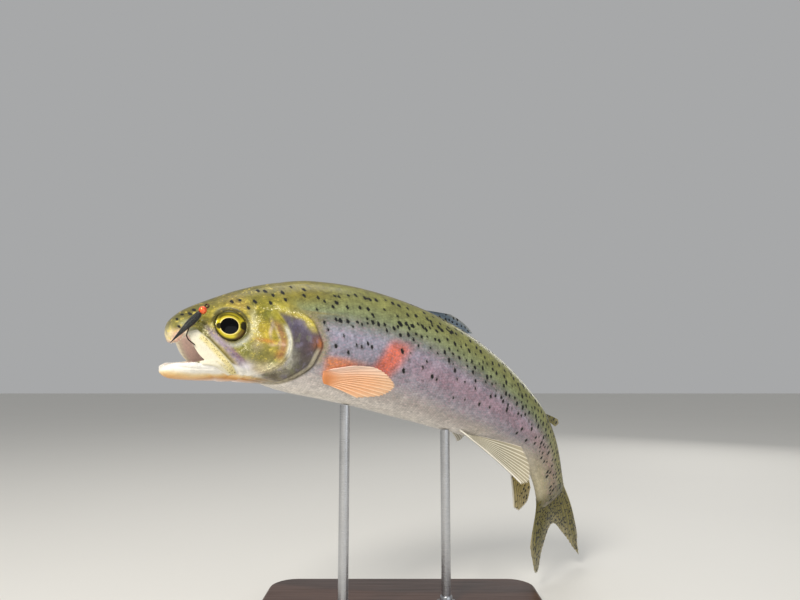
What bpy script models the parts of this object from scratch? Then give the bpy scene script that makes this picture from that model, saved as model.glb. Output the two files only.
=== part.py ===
"""Rainbow trout, life size, as a still display model on a plain two-rod stand.

The fish is first worked out straight, in millimetres: x runs from the snout to the tail, y to the
fish's left and z up.  Its hull is one closed tube of sections that runs from the tail base forward to
the lips and on into the open mouth.  bend() then lays every point along the bent spine, so the tail
hangs down and away from the head.  Neighbouring pieces keep a clearance of GAP.
"""
import bpy
import bmesh
import math
import numpy as np

MM = 0.001
GAP = 0.3                     # clearance between neighbouring pieces

# ---- driving sizes of the fish, straight, in millimetres ----
HEAD_END = 68.5               # section where the head block meets the trunk
TRUNK_SPLIT = 138.0           # front and rear trunk lengths meet here
STALK_START = 204.0           # the trunk meets the tail stalk here
TAIL_BASE = 276.0             # root of the tail fin's rays
FORK = 298.0                  # notch of the tail fin
HULL_SIDES = 32               # points round one section
ROUNDNESS = 0.95              # below 1 makes a section slightly squarer than an ellipse

# ---- pose of the spine: heading and dip in degrees at stations along the fish ----
HEADING = ((0, 38), (35, 38), (60, 36), (100, 32), (150, 31), (200, 37), (250, 58), (320, 80))
DIP = ((0, 0), (35, 0.5), (60, 1.5), (100, 10.5), (150, 20.5), (200, 29), (250, 52), (320, 82))
ROLL = ((0, 0), (100, 3), (200, 17), (276, 29), (330, 29))
SNOUT = (-107.7, -86.7, 146.0)    # world place of the straight fish's origin

# ---- hull profiles by section number: tail sections are flat cuts, snout sections wrap the lips ----
# back line: section, x, z
BACK = ((276, 276, 13.2), (264, 264, 12.4), (240, 240, 13.5), (210, 210, 17.4), (180, 180, 22.7),
        (150, 150, 27.0), (120, 120, 29.3), (90, 90, 29.8), (66, 66, 28.8), (50, 50.5, 26.4),
        (40, 40.5, 24.1), (30, 30.5, 20.9), (22, 22, 17.5), (15, 14, 14.0), (10, 8, 11.1),
        (6, 3.4, 7.7), (3, 0.7, 4.2), (1.2, 0.1, 0.4), (0, 1.9, -3.6), (-1, 3.7, -3.9),
        (-3, 5.8, -1.8), (-10, 13, 0.5), (-25, 28, -3), (-40, 40, -8))
# belly and chin line: section, x, z
BELLY = ((276, 276, -13.0), (262, 262, -12.2), (235, 235, -13.8), (205, 205, -19.8), (180, 180, -24.6),
         (150, 150, -28.6), (120, 120, -30.0), (90, 90, -29.0), (66, 66, -26.6), (50, 51, -23.7),
         (40, 41, -21.4), (30, 30, -20.5), (22, 20.5, -20.2), (15, 12.5, -19.9), (10, 7, -19.6),
         (6, 2.6, -19.1), (3, -0.4, -17.6), (1.2, -1.6, -15.7), (0, -1.3, -14.1), (-1, 0.4, -13.8),
         (-3, 3, -15.2), (-10, 10, -16.8), (-25, 27, -14.5), (-40, 40, -8))
# widest line of the flank: section, x, half width, z
FLANK = ((276, 276, 3.4, 0), (264, 264, 5.0, -0.1), (240, 240, 7.6, -0.5), (210, 210, 11.3, -0.9),
         (180, 180, 15.0, -1.1), (150, 150, 17.8, -1.3), (120, 120, 19.1, -1.5), (90, 90, 19.2, -1.8),
         (66, 66, 18.3, -2.1), (50, 52, 16.9, -3.3), (40, 43, 15.6, -4.8), (30, 34.5, 14.3, -7.0),
         (22, 27.5, 13.2, -8.8), (15, 21.5, 12.4, -10.0), (10, 17.8, 11.9, -10.7), (6, 15.6, 11.5, -11),
         (3, 14.3, 11.2, -11.1), (1.2, 13.7, 11.0, -11.1), (0, 13.4, 10.6, -11.1), (-1, 13.9, 9.9, -11.1),
         (-3, 15.5, 9.5, -11), (-10, 21, 9.2, -10.8), (-25, 32, 6.2, -9.5), (-40, 40, 0, -8))
# rises of the lips' edge: degrees round from the back line, spread in degrees, height
LIP_RISES = ((52, 20, 6.0), (140, 24, 0.9))
LIP_REACH = 12.0              # sections over which the rises fade out

# ---- eyes ----
EYE = (24.0, 4.0)             # x, z of the eye's middle
EYE_RADIUS = 6.5
EYE_OUT = 11.3                # distance of the eye's rim from the middle plane
EYE_DOME = 1.3                # bulge of the cornea
EYE_DEPTH = 5.0
EYE_FORWARD, EYE_UP = 10.0, 16.0    # degrees by which the eye looks forward and up

# ---- side outlines of the pieces cut from the head block: x, z ----
JAW_CUT = ((-6, -11.9), (9, -11.5), (20, -12.4), (37, -16.4), (43, -24), (43, -34), (-6, -34))
LIP_BONE = ((5.0, -2.2), (5.8, 0.3), (10.4, 1.5), (14.5, -2.0), (25.6, -13.3), (28.6, -17.0), (25, -17.8),
            (17.5, -13.6), (12.6, -12.9))
COVER = ((46.7, 12.8), (56.2, 11.6), (61.4, 8), (64.8, 1.6), (66.2, -3.4), (64.6, -9), (62.3, -14.2),
         (56, -20.2), (48, -21), (43.8, -14), (41.5, -4), (42.5, 7.5))
LIP_BONE_INNER = 6.0          # distance of each piece's inner face from the middle plane
COVER_INNER = 10.5

# ---- tongue: half lengths, and its middle on the floor of the mouth ----
TONGUE_HALF = (8.5, 3.6, 2.0)
TONGUE_PLACE = (16.0, 0.0, -15.9)

# ---- fins: thickness at root and edge, and clearance of the paired fins' roots from the skin ----
FIN_ROOT, FIN_EDGE = 1.6, 0.6
TAIL_FIN_ROOT = 4.6
ROOT_CLEARANCE = 1.2

# ---- stand ----
BASE_SIZE = (150.0, 104.0, 10.0)
BASE_PLACE = (-9.0, -12.0)
BASE_CORNER, BASE_EDGE = 14.0, 1.2
ROD_RADIUS = 2.5
ROD_SECTIONS = (("stand_rod_front", 88.0), ("stand_rod_rear", 150.0))


# ------------------------------------------------------------------ curves and the spine
def steady_curve(stations, at):
    """Smooth curve through rising (position, value) pairs; it never overshoots a station."""
    table = np.array(sorted(stations), float)
    xs, ys = table[:, 0], table[:, 1]
    step = np.diff(xs)
    rise = np.diff(ys) / step
    slope = np.concatenate([rise[:1], np.zeros(len(rise) - 1), rise[-1:]])
    same = rise[:-1] * rise[1:] > 0
    weight = step[:-1] + step[1:]
    safe = np.where(same, rise[:-1] * step[1:] + rise[1:] * step[:-1], 1.0)
    slope[1:-1] = np.where(same, weight * rise[:-1] * rise[1:] / safe, 0.0)
    at = np.clip(np.asarray(at, float), xs[0], xs[-1])
    k = np.clip(np.searchsorted(xs, at, side="right") - 1, 0, len(step) - 1)
    t = (at - xs[k]) / step[k]
    return ((2 * t**3 - 3 * t**2 + 1) * ys[k] + (t**3 - 2 * t**2 + t) * step[k] * slope[k]
            + (3 * t**2 - 2 * t**3) * ys[k + 1] + (t**3 - t**2) * step[k] * slope[k + 1])


def column(table, which):
    """(section, value) pairs of one column of a profile table."""
    return [(row[0], row[which]) for row in table]


def spine_frames():
    """Places and directions along the spine, one row a millimetre: x, place, tailward, left, up."""
    x = np.arange(-8.0, 331.0)
    heading, dip, roll = (np.radians(steady_curve(t, x)) for t in (HEADING, DIP, ROLL))
    tailward = np.stack([np.cos(dip) * np.cos(heading), np.cos(dip) * np.sin(heading), -np.sin(dip)], 1)
    level_up = np.stack([np.sin(dip) * np.cos(heading), np.sin(dip) * np.sin(heading), np.cos(dip)], 1)
    level_left = np.cross(level_up, -tailward)
    up = np.cos(roll)[:, None] * level_up + np.sin(roll)[:, None] * level_left
    left = np.cross(up, -tailward)
    place = np.concatenate([np.zeros((1, 3)), np.cumsum((tailward[1:] + tailward[:-1]) / 2, 0)])
    return x, place - place[8] + np.array(SNOUT), tailward, left, up


SPINE = spine_frames()


def bend(points):
    """World place, in metres, of straight-fish points given in millimetres."""
    points = np.asarray(points, float)
    x, place, tailward, left, up = SPINE
    px, py, pz = points[..., 0], points[..., 1], points[..., 2]

    def along(rows):
        return np.stack([np.interp(px, x, rows[:, k]) for k in range(3)], -1)

    return MM * (along(place) + py[..., None] * along(left) + pz[..., None] * along(up))


def hull(section, angle, grow=0.0):
    """Point of the hull: angle 0 is the back line, 90 degrees the left flank, 180 the belly line.

    A section runs from the back line's point to the flank's and on to the belly line's, each
    quarter a squared-off ellipse, so a section near the mouth wraps round the lip like an arch.
    """
    section, angle = np.broadcast_arrays(np.asarray(section, float), np.asarray(angle, float))
    cosine, sine = np.cos(angle), np.sin(angle)
    upper = cosine >= 0
    edge_x = np.where(upper, steady_curve(column(BACK, 1), section), steady_curve(column(BELLY, 1), section))
    edge_z = np.where(upper, steady_curve(column(BACK, 2), section), steady_curve(column(BELLY, 2), section))
    side_x, side_y, side_z = (steady_curve(column(FLANK, k), section) for k in (1, 2, 3))
    round_cos = np.abs(cosine) ** ROUNDNESS
    round_sin = np.sign(sine) * np.abs(sine) ** ROUNDNESS
    degrees = np.degrees(np.arccos(np.clip(cosine, -1, 1)))
    reach = np.clip(1 - np.abs(section) / LIP_REACH, 0, 1)
    rise = sum(height * np.exp(-(((degrees - middle) / spread) ** 2)) for middle, spread, height in LIP_RISES)
    notch = rise * reach**2 * (3 - 2 * reach)
    out = np.where(section < 0, -grow, grow)
    return np.stack([side_x + (edge_x - side_x) * round_cos,
                     (side_y + out) * round_sin,
                     side_z + (edge_z - side_z) * round_cos + out * cosine + notch], -1)


# ------------------------------------------------------------------ meshes and materials
def material(name, colour, roughness, metallic=0.0):
    """A Principled finish."""
    finish = bpy.data.materials.new(name)
    finish.use_nodes = True
    shader = finish.node_tree.nodes["Principled BSDF"]
    shader.inputs["Base Color"].default_value = (*colour, 1.0)
    shader.inputs["Roughness"].default_value = roughness
    shader.inputs["Metallic"].default_value = metallic
    return finish


def add_object(name, mesh, colour, roughness=0.5, metallic=0.0):
    """Put a mesh in the scene as one named piece with a finish of its own."""
    obj = bpy.data.objects.new(name, mesh)
    PARTS.objects.link(obj)
    mesh.materials.clear()
    mesh.materials.append(material(name, colour, roughness, metallic))
    return obj


def mesh_from(name, points, faces):
    """Closed mesh with its faces turned outwards; points are world metres."""
    mesh = bpy.data.meshes.new(name)
    mesh.from_pydata([tuple(p) for p in points], [], faces)
    work = bmesh.new()
    work.from_mesh(mesh)
    bmesh.ops.recalc_face_normals(work, faces=work.faces)
    if work.calc_volume(signed=True) < 0:
        bmesh.ops.reverse_faces(work, faces=work.faces)
    work.to_mesh(mesh)
    work.free()
    mesh.shade_smooth()
    mesh.set_sharp_from_angle(angle=math.radians(40))
    return mesh


def loft(name, rings):
    """Tube through rings of points, shape (rings, sides, 3), each end closed on a middle point."""
    count, sides = rings.shape[:2]
    ends = np.stack([rings[0].mean(0), rings[-1].mean(0)])
    points = np.concatenate([rings.reshape(-1, 3), ends])
    faces = []
    for i in range(count - 1):
        for j in range(sides):
            k = (j + 1) % sides
            faces.append((i * sides + j, i * sides + k, (i + 1) * sides + k, (i + 1) * sides + j))
    for j in range(sides):
        k = (j + 1) % sides
        faces.append((count * sides, j, k))
        faces.append((count * sides + 1, (count - 1) * sides + k, (count - 1) * sides + j))
    return mesh_from(name, points, faces)


def plate(name, left, right):
    """Closed plate between two like grids of points, shape (rows, columns, 3), in flat triangles."""
    rows, columns = left.shape[:2]
    points = np.concatenate([left.reshape(-1, 3), right.reshape(-1, 3)])
    other = rows * columns
    faces = []
    for i in range(rows - 1):
        for j in range(columns - 1):
            a, b, c, d = i * columns + j, i * columns + j + 1, (i + 1) * columns + j + 1, (i + 1) * columns + j
            faces += [(a, b, c), (a, c, d), (other + c, other + b, other + a), (other + d, other + c, other + a)]
    border = ([j for j in range(columns)] + [i * columns + columns - 1 for i in range(1, rows)]
              + [(rows - 1) * columns + j for j in range(columns - 2, -1, -1)]
              + [i * columns for i in range(rows - 2, 0, -1)])
    for a, b in zip(border, border[1:] + border[:1]):
        faces += [(a, b, other + b), (a, other + b, other + a)]
    return mesh_from(name, points, faces)


def boolean(obj, cutter, operation):
    """Exact Boolean modifier that stays on the piece."""
    modifier = obj.modifiers.new(operation.title(), "BOOLEAN")
    modifier.operation = operation
    modifier.solver = "EXACT"
    modifier.object = cutter


def add_cutter(name, mesh):
    """A hidden helper that only cuts or joins."""
    cutter = bpy.data.objects.new(name, mesh)
    CUTTERS.objects.link(cutter)
    cutter.hide_render = True
    cutter.display_type = "WIRE"
    return cutter


# ------------------------------------------------------------------ body lengths
FLESH = (0.36, 0.37, 0.16)


def body_rings(first, last, spacing, grow=0.0):
    """Rings of the hull between two sections."""
    sections = np.linspace(first, last, max(2, round(abs(last - first) / spacing) + 1))
    angles = np.linspace(0, 2 * math.pi, HULL_SIDES, endpoint=False)
    return bend(hull(sections[:, None], angles[None, :], grow))


def build_trunk():
    """Two trunk lengths and the tail stalk, parted by thin cuts."""
    half = GAP / 2
    lengths = (("trunk_front", HEAD_END + half, TRUNK_SPLIT - half, FLESH),
               ("trunk_rear", TRUNK_SPLIT + half, STALK_START - half, (0.40, 0.42, 0.24)),
               ("tail_stalk", STALK_START + half, TAIL_BASE - half, (0.50, 0.45, 0.18)))
    for name, first, last, colour in lengths:
        add_object(name, loft(name, body_rings(first, last, 7.5)), colour, 0.35)


# ------------------------------------------------------------------ head
HEAD_SECTIONS = (-30, -21, -14, -9, -5.5, -3, -1.8, -0.9, 0, 0.8, 1.8, 3.2, 5.2, 8, 11.5, 15.5,
                 20, 25, 30.5, 36.5, 43, 50, 57.5)


def head_block(name):
    """The whole head with its open mouth, before it is parted."""
    sections = np.array(HEAD_SECTIONS + (HEAD_END - GAP / 2,), float)
    angles = np.linspace(0, 2 * math.pi, HULL_SIDES, endpoint=False)
    return loft(name, bend(hull(sections[:, None], angles[None, :])))


def grown(outline, amount):
    """Side outline moved outwards by an amount."""
    corners = np.array(outline, float)
    ahead, behind = np.roll(corners, -1, 0) - corners, corners - np.roll(corners, 1, 0)
    normals = []
    for side in (behind, ahead):
        turned = np.stack([side[:, 1], -side[:, 0]], 1)
        normals.append(turned / np.linalg.norm(turned, axis=1)[:, None])
    mean = normals[0] + normals[1]
    mean /= np.sum(mean * normals[0], 1)[:, None]
    area = np.sum(corners[:, 0] * np.roll(corners[:, 1], -1) - np.roll(corners[:, 0], -1) * corners[:, 1])
    return corners + math.copysign(amount, area) * mean


def side_prism(name, outline, inner, outer, side=1):
    """Cutter with a side outline, from y = inner to y = outer on the fish's left (1) or right (-1)."""
    sheets = [np.insert(np.array(outline, float), 1, side * y, axis=1) for y in (inner, outer)]
    points = bend(np.concatenate(sheets))
    count = len(outline)
    faces = [tuple(range(count)), tuple(range(2 * count - 1, count - 1, -1))]
    faces += [(k, (k + 1) % count, count + (k + 1) % count, count + k) for k in range(count)]
    return add_cutter(name, mesh_from(name, points, faces))


def eye_mesh(name, side, grow=0.0, reach=0.0):
    """Turned eyeball: a shallow dome in front, half an ellipsoid behind; reach lengthens a cutter."""
    rings, sides = 7, 20
    swing = np.linspace(0, math.pi / 2, rings)
    front = [((EYE_RADIUS + grow) * math.sin(a), (EYE_DOME + grow) * math.cos(a)) for a in swing]
    if reach:
        front = [(0.0, reach), (EYE_RADIUS + grow, reach), (EYE_RADIUS + grow, 0.0)]
    back = [((EYE_RADIUS + grow) * math.cos(a), -(EYE_DEPTH + grow) * math.sin(a)) for a in swing[1:]]
    profile = np.array(front + back)
    turn = np.linspace(0, 2 * math.pi, sides, endpoint=False)
    radius, depth = profile[1:-1, 0][:, None], profile[1:-1, 1][:, None]
    local = np.stack([radius * np.cos(turn), depth + 0 * turn, radius * np.sin(turn)], -1)
    poles = np.array([[0, profile[0, 1], 0], [0, profile[-1, 1], 0]])
    points = np.concatenate([local.reshape(-1, 3), poles])
    forward, up = math.radians(EYE_FORWARD), math.radians(EYE_UP)
    out = np.array([-math.sin(forward) * math.cos(up), math.cos(forward) * math.cos(up), math.sin(up)])
    back_axis = np.array([math.cos(forward), math.sin(forward), 0.0])
    up_axis = np.cross(back_axis, out)
    points = points[:, :1] * back_axis + points[:, 1:2] * out + points[:, 2:] * up_axis
    points += np.array([EYE[0], EYE_OUT, EYE[1]])
    points[:, 1] *= side
    count = len(local)
    faces = []
    for i in range(count - 1):
        for j in range(sides):
            k = (j + 1) % sides
            faces.append((i * sides + j, i * sides + k, (i + 1) * sides + k, (i + 1) * sides + j))
    for j in range(sides):
        k = (j + 1) % sides
        faces.append((count * sides, k, j))
        faces.append((count * sides + 1, (count - 1) * sides + j, (count - 1) * sides + k))
    return mesh_from(name, bend(points), faces)


def tongue_cutter():
    """Low rounded tongue that is joined to the floor of the mouth."""
    work = bmesh.new()
    bmesh.ops.create_uvsphere(work, u_segments=16, v_segments=8, radius=1.0)
    local = np.array([v.co[:] for v in work.verts])
    placed = bend(local * TONGUE_HALF + TONGUE_PLACE)
    for vert, place in zip(work.verts, placed):
        vert.co = place
    bmesh.ops.recalc_face_normals(work, faces=work.faces)
    mesh = bpy.data.meshes.new("tongue_cutter")
    work.to_mesh(mesh)
    work.free()
    return add_cutter("tongue_cutter", mesh)


def build_head():
    """Head, lower jaw with the tongue, upper-lip bones, gill covers and eyes.

    The small cuts come before the long jaw cut, so each Boolean meets clean faces.
    """
    head = add_object("head", head_block("head"), (0.42, 0.40, 0.12), 0.3)
    jaw = add_object("lower_jaw", head_block("lower_jaw"), (0.80, 0.68, 0.42), 0.35)
    for side, word in ((1, "left"), (-1, "right")):
        for part, outline, inner, colour in (("lip_bone", LIP_BONE, LIP_BONE_INNER, (0.85, 0.80, 0.66)),
                                             ("gill_cover", COVER, COVER_INNER, (0.55, 0.48, 0.42))):
            piece = add_object(f"{part}_{word}", head_block(part), colour, 0.3)
            keep = side_prism(f"{part}_{word}_keep", outline, inner, 30, side)
            cut = side_prism(f"{part}_{word}_cut", grown(outline, GAP), inner - GAP, 31, side)
            boolean(piece, keep, "INTERSECT")
            boolean(head, cut, "DIFFERENCE")
            if part == "lip_bone":
                boolean(jaw, cut, "DIFFERENCE")
        socket = add_cutter(f"eye_socket_{word}", eye_mesh("socket", side, GAP, 8.0))
        boolean(head, socket, "DIFFERENCE")
        add_object(f"eye_{word}", eye_mesh(f"eye_{word}", side), (0.75, 0.55, 0.08), 0.08)
    boolean(head, side_prism("jaw_cut", grown(JAW_CUT, GAP), -26, 26), "DIFFERENCE")
    boolean(jaw, side_prism("jaw_keep", JAW_CUT, -25, 25), "INTERSECT")
    boolean(jaw, tongue_cutter(), "UNION")


# ------------------------------------------------------------------ fins
def fin(name, root, tip, across, colour, thick_root=FIN_ROOT, rays=8, steps=5):
    """Thin fin between a root line and an edge line.

    root and tip give straight-fish points for v from 0 at the leading ray to 1 at the last one.
    across is the unit direction through its thickness.
    """
    v = np.linspace(0, 1, rays)[:, None]
    r = np.linspace(0, 1, steps)[None, :]
    root_line, tip_line = root(v[:, 0])[:, None, :], tip(v[:, 0])[:, None, :]
    middle = root_line + (tip_line - root_line) * r[..., None]
    across = np.array(across, float)
    half = (thick_root + (FIN_EDGE - thick_root) * np.sqrt(r) + 0 * v) / 2
    left, right = middle + across * half[..., None], middle - across * half[..., None]
    return add_object(name, plate(name, bend(left), bend(right)), colour, 0.4)


def line(*stations):
    """Function of v through straight-fish points, given as (v, x, y, z)."""
    def points(v):
        return np.stack([steady_curve(column(stations, k), v) for k in (1, 2, 3)], -1)
    return points


def on_hull(side, *stations):
    """Function of v through hull points, given as (v, section, degrees from the back line, height)."""
    def points(v):
        section, degrees, height = (steady_curve(column(stations, k), v) for k in (1, 2, 3))
        return hull(section, side * np.radians(degrees), height)
    return points


def build_fins():
    """Dorsal fin folded low, adipose, tail, anal, pectoral and pelvic fins."""
    olive = (0.42, 0.42, 0.20)
    fin("dorsal_fin", on_hull(1, (0, 126, 0, GAP), (1, 152, 0, GAP)),
        line((0, 141.5, -1.0, 32.4), (0.3, 147, -1.5, 31.9), (0.7, 152.5, -1.4, 30.4), (1, 157, -0.7, 28.0)),
        (0, 1, 0), olive)
    fin("adipose_fin", on_hull(1, (0, 223, 0, GAP), (1, 229, 0, GAP)),
        line((0, 234, 0, 21.0), (0.5, 236.5, 0, 20.0), (1, 236, 0, 17.0)),
        (0, 1, 0), olive, rays=4, steps=4)
    fin("caudal_fin",
        line((0, TAIL_BASE + GAP, 0, 12.8), (0.5, TAIL_BASE + GAP, 0, 0), (1, TAIL_BASE + GAP, 0, -12.8)),
        line((0, 303, 1, 25.0), (0.05, 318, 3, 29.5), (0.12, 328, 4, 30.0), (0.3, 309, 0, 12.5), (0.5, FORK, -1, 0),
             (0.68, 308, 0, -14), (0.86, 318, 3, -28.5), (0.93, 315, 4, -33), (1, 298, 3, -30.5)),
        (0, 1, 0), (0.45, 0.42, 0.16), thick_root=TAIL_FIN_ROOT, rays=21, steps=6)
    fin("anal_fin", on_hull(1, (0, STALK_START + 10, 180, GAP), (1, 237, 180, GAP)),
        line((0, 256, 5.5, -35.5), (0.15, 261, 6.5, -33.0), (0.5, 260, 6.5, -26.5), (1, 254, 5.0, -19)),
        (0, 1, 0), (0.55, 0.50, 0.30), rays=9)
    for side, word in ((1, "left"), (-1, "right")):
        fin(f"pectoral_fin_{word}",
            on_hull(side, (0, HEAD_END + 0.6, 118, ROOT_CLEARANCE), (1, HEAD_END + 3, 135, ROOT_CLEARANCE)),
            on_hull(side, (0, 84, 106, 2.2), (0.15, 94, 104, 2.8), (0.35, 104, 109, 3.4), (0.6, 109, 117, 3.6),
                    (0.8, 105, 128, 3.4), (1, 91, 140, 2.8)),
            (0, side * 0.9, -0.43), (0.72, 0.50, 0.30), rays=9)
        fin(f"pelvic_fin_{word}",
            on_hull(side, (0, 167, 150, ROOT_CLEARANCE), (1, 176, 162, ROOT_CLEARANCE)),
            line((0, 208, side * 31.5, -30.0), (0.25, 211.5, side * 32.0, -26.5), (0.7, 209, side * 27.5, -18.5),
                 (1, 203.5, side * 21.0, -13.0)),
            (0.15, side * -0.65, -0.74), (0.75, 0.70, 0.60), rays=7)


# ------------------------------------------------------------------ the angler's fly in the lip
FLY_NOSE = (11.6, 11.5, 9.4)       # bead's middle, straight fish
FLY_TAIL = (-0.7, 10.6, -4.4)      # thin end of the body
BEAD_RADIUS = 1.7
FLY_BODY = ((0, 1.1), (0.08, 1.5), (0.25, 1.6), (0.5, 1.2), (0.75, 0.75), (1, 0.3))
HOOK_WIRE = 0.35
HOOK_EYE_RADIUS = 0.8
HOOK_ACROSS = (0.45, -0.80, -0.40)
HOOK_PATH = ((5.9, 10.4, -0.4), (5.75, 10.6, -1.3), (6.1, 10.9, -2.5), (7.05, 11.1, -3.5), (8.1, 11.2, -4.2))


def turned(name, profile, start, end, sides=14):
    """Mesh turned about the line from start to end; profile is (share of the length, radius)."""
    start, end = np.array(start, float), np.array(end, float)
    axis = (end - start) / np.linalg.norm(end - start)
    one = np.cross(axis, (0, 1, 0))
    one /= np.linalg.norm(one)
    two = np.cross(axis, one)
    turn = np.linspace(0, 2 * math.pi, sides, endpoint=False)
    rings = [start + (end - start) * share + radius * (np.cos(turn)[:, None] * one + np.sin(turn)[:, None] * two)
             for share, radius in profile]
    return loft(name, bend(np.array(rings)))


def wire(name, points, closed=False):
    """Round wire through straight-fish points."""
    curve = bpy.data.curves.new(name, "CURVE")
    curve.dimensions = "3D"
    curve.bevel_depth = HOOK_WIRE * MM
    curve.bevel_resolution = 1
    curve.use_fill_caps = not closed
    spline = curve.splines.new("POLY")
    spline.points.add(len(points) - 1)
    for point, place in zip(spline.points, bend(points)):
        point.co = (*place, 1.0)
    spline.use_cyclic_u = closed
    curve.materials.append(material(name, (0.03, 0.03, 0.03), 0.3, 0.8))
    obj = bpy.data.objects.new(name, curve)
    PARTS.objects.link(obj)


def build_fly():
    """Bead, tapered body and wire hook, as one small fly beside the snout."""
    swing = np.linspace(0.12, math.pi - 0.12, 9)
    nose, tail = np.array(FLY_NOSE), np.array(FLY_TAIL)
    axis = (tail - nose) / np.linalg.norm(tail - nose)
    bead = [((1 - math.cos(a)) / 2, BEAD_RADIUS * math.sin(a)) for a in swing]
    add_object("fly_bead", turned("fly_bead", bead, nose - axis * BEAD_RADIUS, nose + axis * BEAD_RADIUS),
               (0.75, 0.16, 0.03), 0.12, 0.3)
    add_object("fly_body", turned("fly_body", FLY_BODY, nose + axis * (BEAD_RADIUS + GAP), tail),
               (0.02, 0.02, 0.018), 0.5)
    wire("fly_hook", np.array(HOOK_PATH))
    turn = np.linspace(0, 2 * math.pi, 12, endpoint=False)[:, None]
    ring_middle = nose - axis * (BEAD_RADIUS + GAP + HOOK_EYE_RADIUS + HOOK_WIRE)
    side = np.cross(axis, HOOK_ACROSS)
    wire("fly_hook_eye", ring_middle + HOOK_EYE_RADIUS * (axis * np.cos(turn) + side * np.sin(turn)), closed=True)


# ------------------------------------------------------------------ stand
def build_stand():
    """Flat base with rounded corners and two upright rods that end just under the belly."""
    width, depth, height = (v * MM for v in BASE_SIZE)
    work = bmesh.new()
    bmesh.ops.create_cube(work, size=1.0)
    for vert in work.verts:
        vert.co.x = vert.co.x * width + BASE_PLACE[0] * MM
        vert.co.y = vert.co.y * depth + BASE_PLACE[1] * MM
        vert.co.z = (vert.co.z + 0.5) * height
    uprights = [e for e in work.edges if abs(e.verts[0].co.z - e.verts[1].co.z) > height / 2]
    bmesh.ops.bevel(work, geom=uprights, offset=BASE_CORNER * MM, segments=6, affect="EDGES", profile=0.5)
    top = [e for e in work.edges if min(v.co.z for v in e.verts) > height * 0.99]
    bmesh.ops.bevel(work, geom=top, offset=BASE_EDGE * MM, segments=2, affect="EDGES", profile=0.5)
    mesh = bpy.data.meshes.new("stand_base")
    work.to_mesh(mesh)
    work.free()
    mesh.shade_smooth()
    mesh.set_sharp_from_angle(angle=math.radians(30))
    add_object("stand_base", mesh, (0.12, 0.06, 0.03), 0.45)
    belly = add_cutter("belly_clearance", loft("belly", body_rings(HEAD_END + 6, STALK_START - 6, 6.0, GAP)))
    for name, section in ROD_SECTIONS:
        foot = bend(np.array([section, 0.0, 0.0]))
        low, high = height + GAP * MM, float(foot[2])
        work = bmesh.new()
        bmesh.ops.create_cone(work, cap_ends=True, segments=20, radius1=ROD_RADIUS * MM,
                              radius2=ROD_RADIUS * MM, depth=high - low)
        bmesh.ops.translate(work, verts=work.verts, vec=(foot[0], foot[1], (high + low) / 2))
        mesh = bpy.data.meshes.new(name)
        work.to_mesh(mesh)
        work.free()
        mesh.shade_smooth()
        mesh.set_sharp_from_angle(angle=math.radians(40))
        rod = add_object(name, mesh, (0.75, 0.76, 0.78), 0.25, 1.0)
        boolean(rod, belly, "DIFFERENCE")


def new_folder(name):
    """A collection in the scene."""
    folder = bpy.data.collections.new(name)
    bpy.context.scene.collection.children.link(folder)
    return folder


for old in list(bpy.data.objects):
    bpy.data.objects.remove(old, do_unlink=True)
PARTS = new_folder("rainbow_trout")
CUTTERS = new_folder("cutters")
build_head()
build_trunk()
build_fins()
build_fly()
build_stand()
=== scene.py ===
"""Rainbow trout display model: one scaled skin, rayed fins, eyes, teeth, fly and stand.

The fish is worked out straight, in millimetres (x tailward from the snout, y to the fish's left, z up),
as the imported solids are, and bend() lays every point along the bent spine.  A place on the body is a
(section, angle) pair on the hull; its relief, its colour and its spots are formulas of that place, so
the skin and the scales over it carry the same markings.
"""
import math

import bpy
import numpy as np
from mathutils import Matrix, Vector


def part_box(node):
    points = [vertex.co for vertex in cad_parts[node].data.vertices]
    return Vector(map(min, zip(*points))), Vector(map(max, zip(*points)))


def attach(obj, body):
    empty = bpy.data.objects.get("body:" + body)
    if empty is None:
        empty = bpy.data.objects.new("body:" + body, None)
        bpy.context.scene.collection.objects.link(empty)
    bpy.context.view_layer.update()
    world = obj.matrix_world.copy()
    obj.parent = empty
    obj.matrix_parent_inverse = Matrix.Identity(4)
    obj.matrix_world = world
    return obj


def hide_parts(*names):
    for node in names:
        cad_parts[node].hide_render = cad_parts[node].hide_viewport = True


bl_info = {
    "name": "Rainbow trout display model",
    "version": (1, 0, 0),
    "blender": (4, 5, 0),
    "location": "3D View > Sidebar > Trout",
    "description": "Builds a scaled trout with its fins, eyes, fly and stand round the packed parts",
    "category": "Add Mesh",
}

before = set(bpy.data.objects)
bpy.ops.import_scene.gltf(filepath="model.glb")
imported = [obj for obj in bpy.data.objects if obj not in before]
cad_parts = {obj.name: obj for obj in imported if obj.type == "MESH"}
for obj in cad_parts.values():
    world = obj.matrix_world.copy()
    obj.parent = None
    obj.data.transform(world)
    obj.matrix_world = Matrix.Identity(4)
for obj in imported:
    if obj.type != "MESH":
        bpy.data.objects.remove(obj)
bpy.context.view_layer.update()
MM = 0.001

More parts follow.
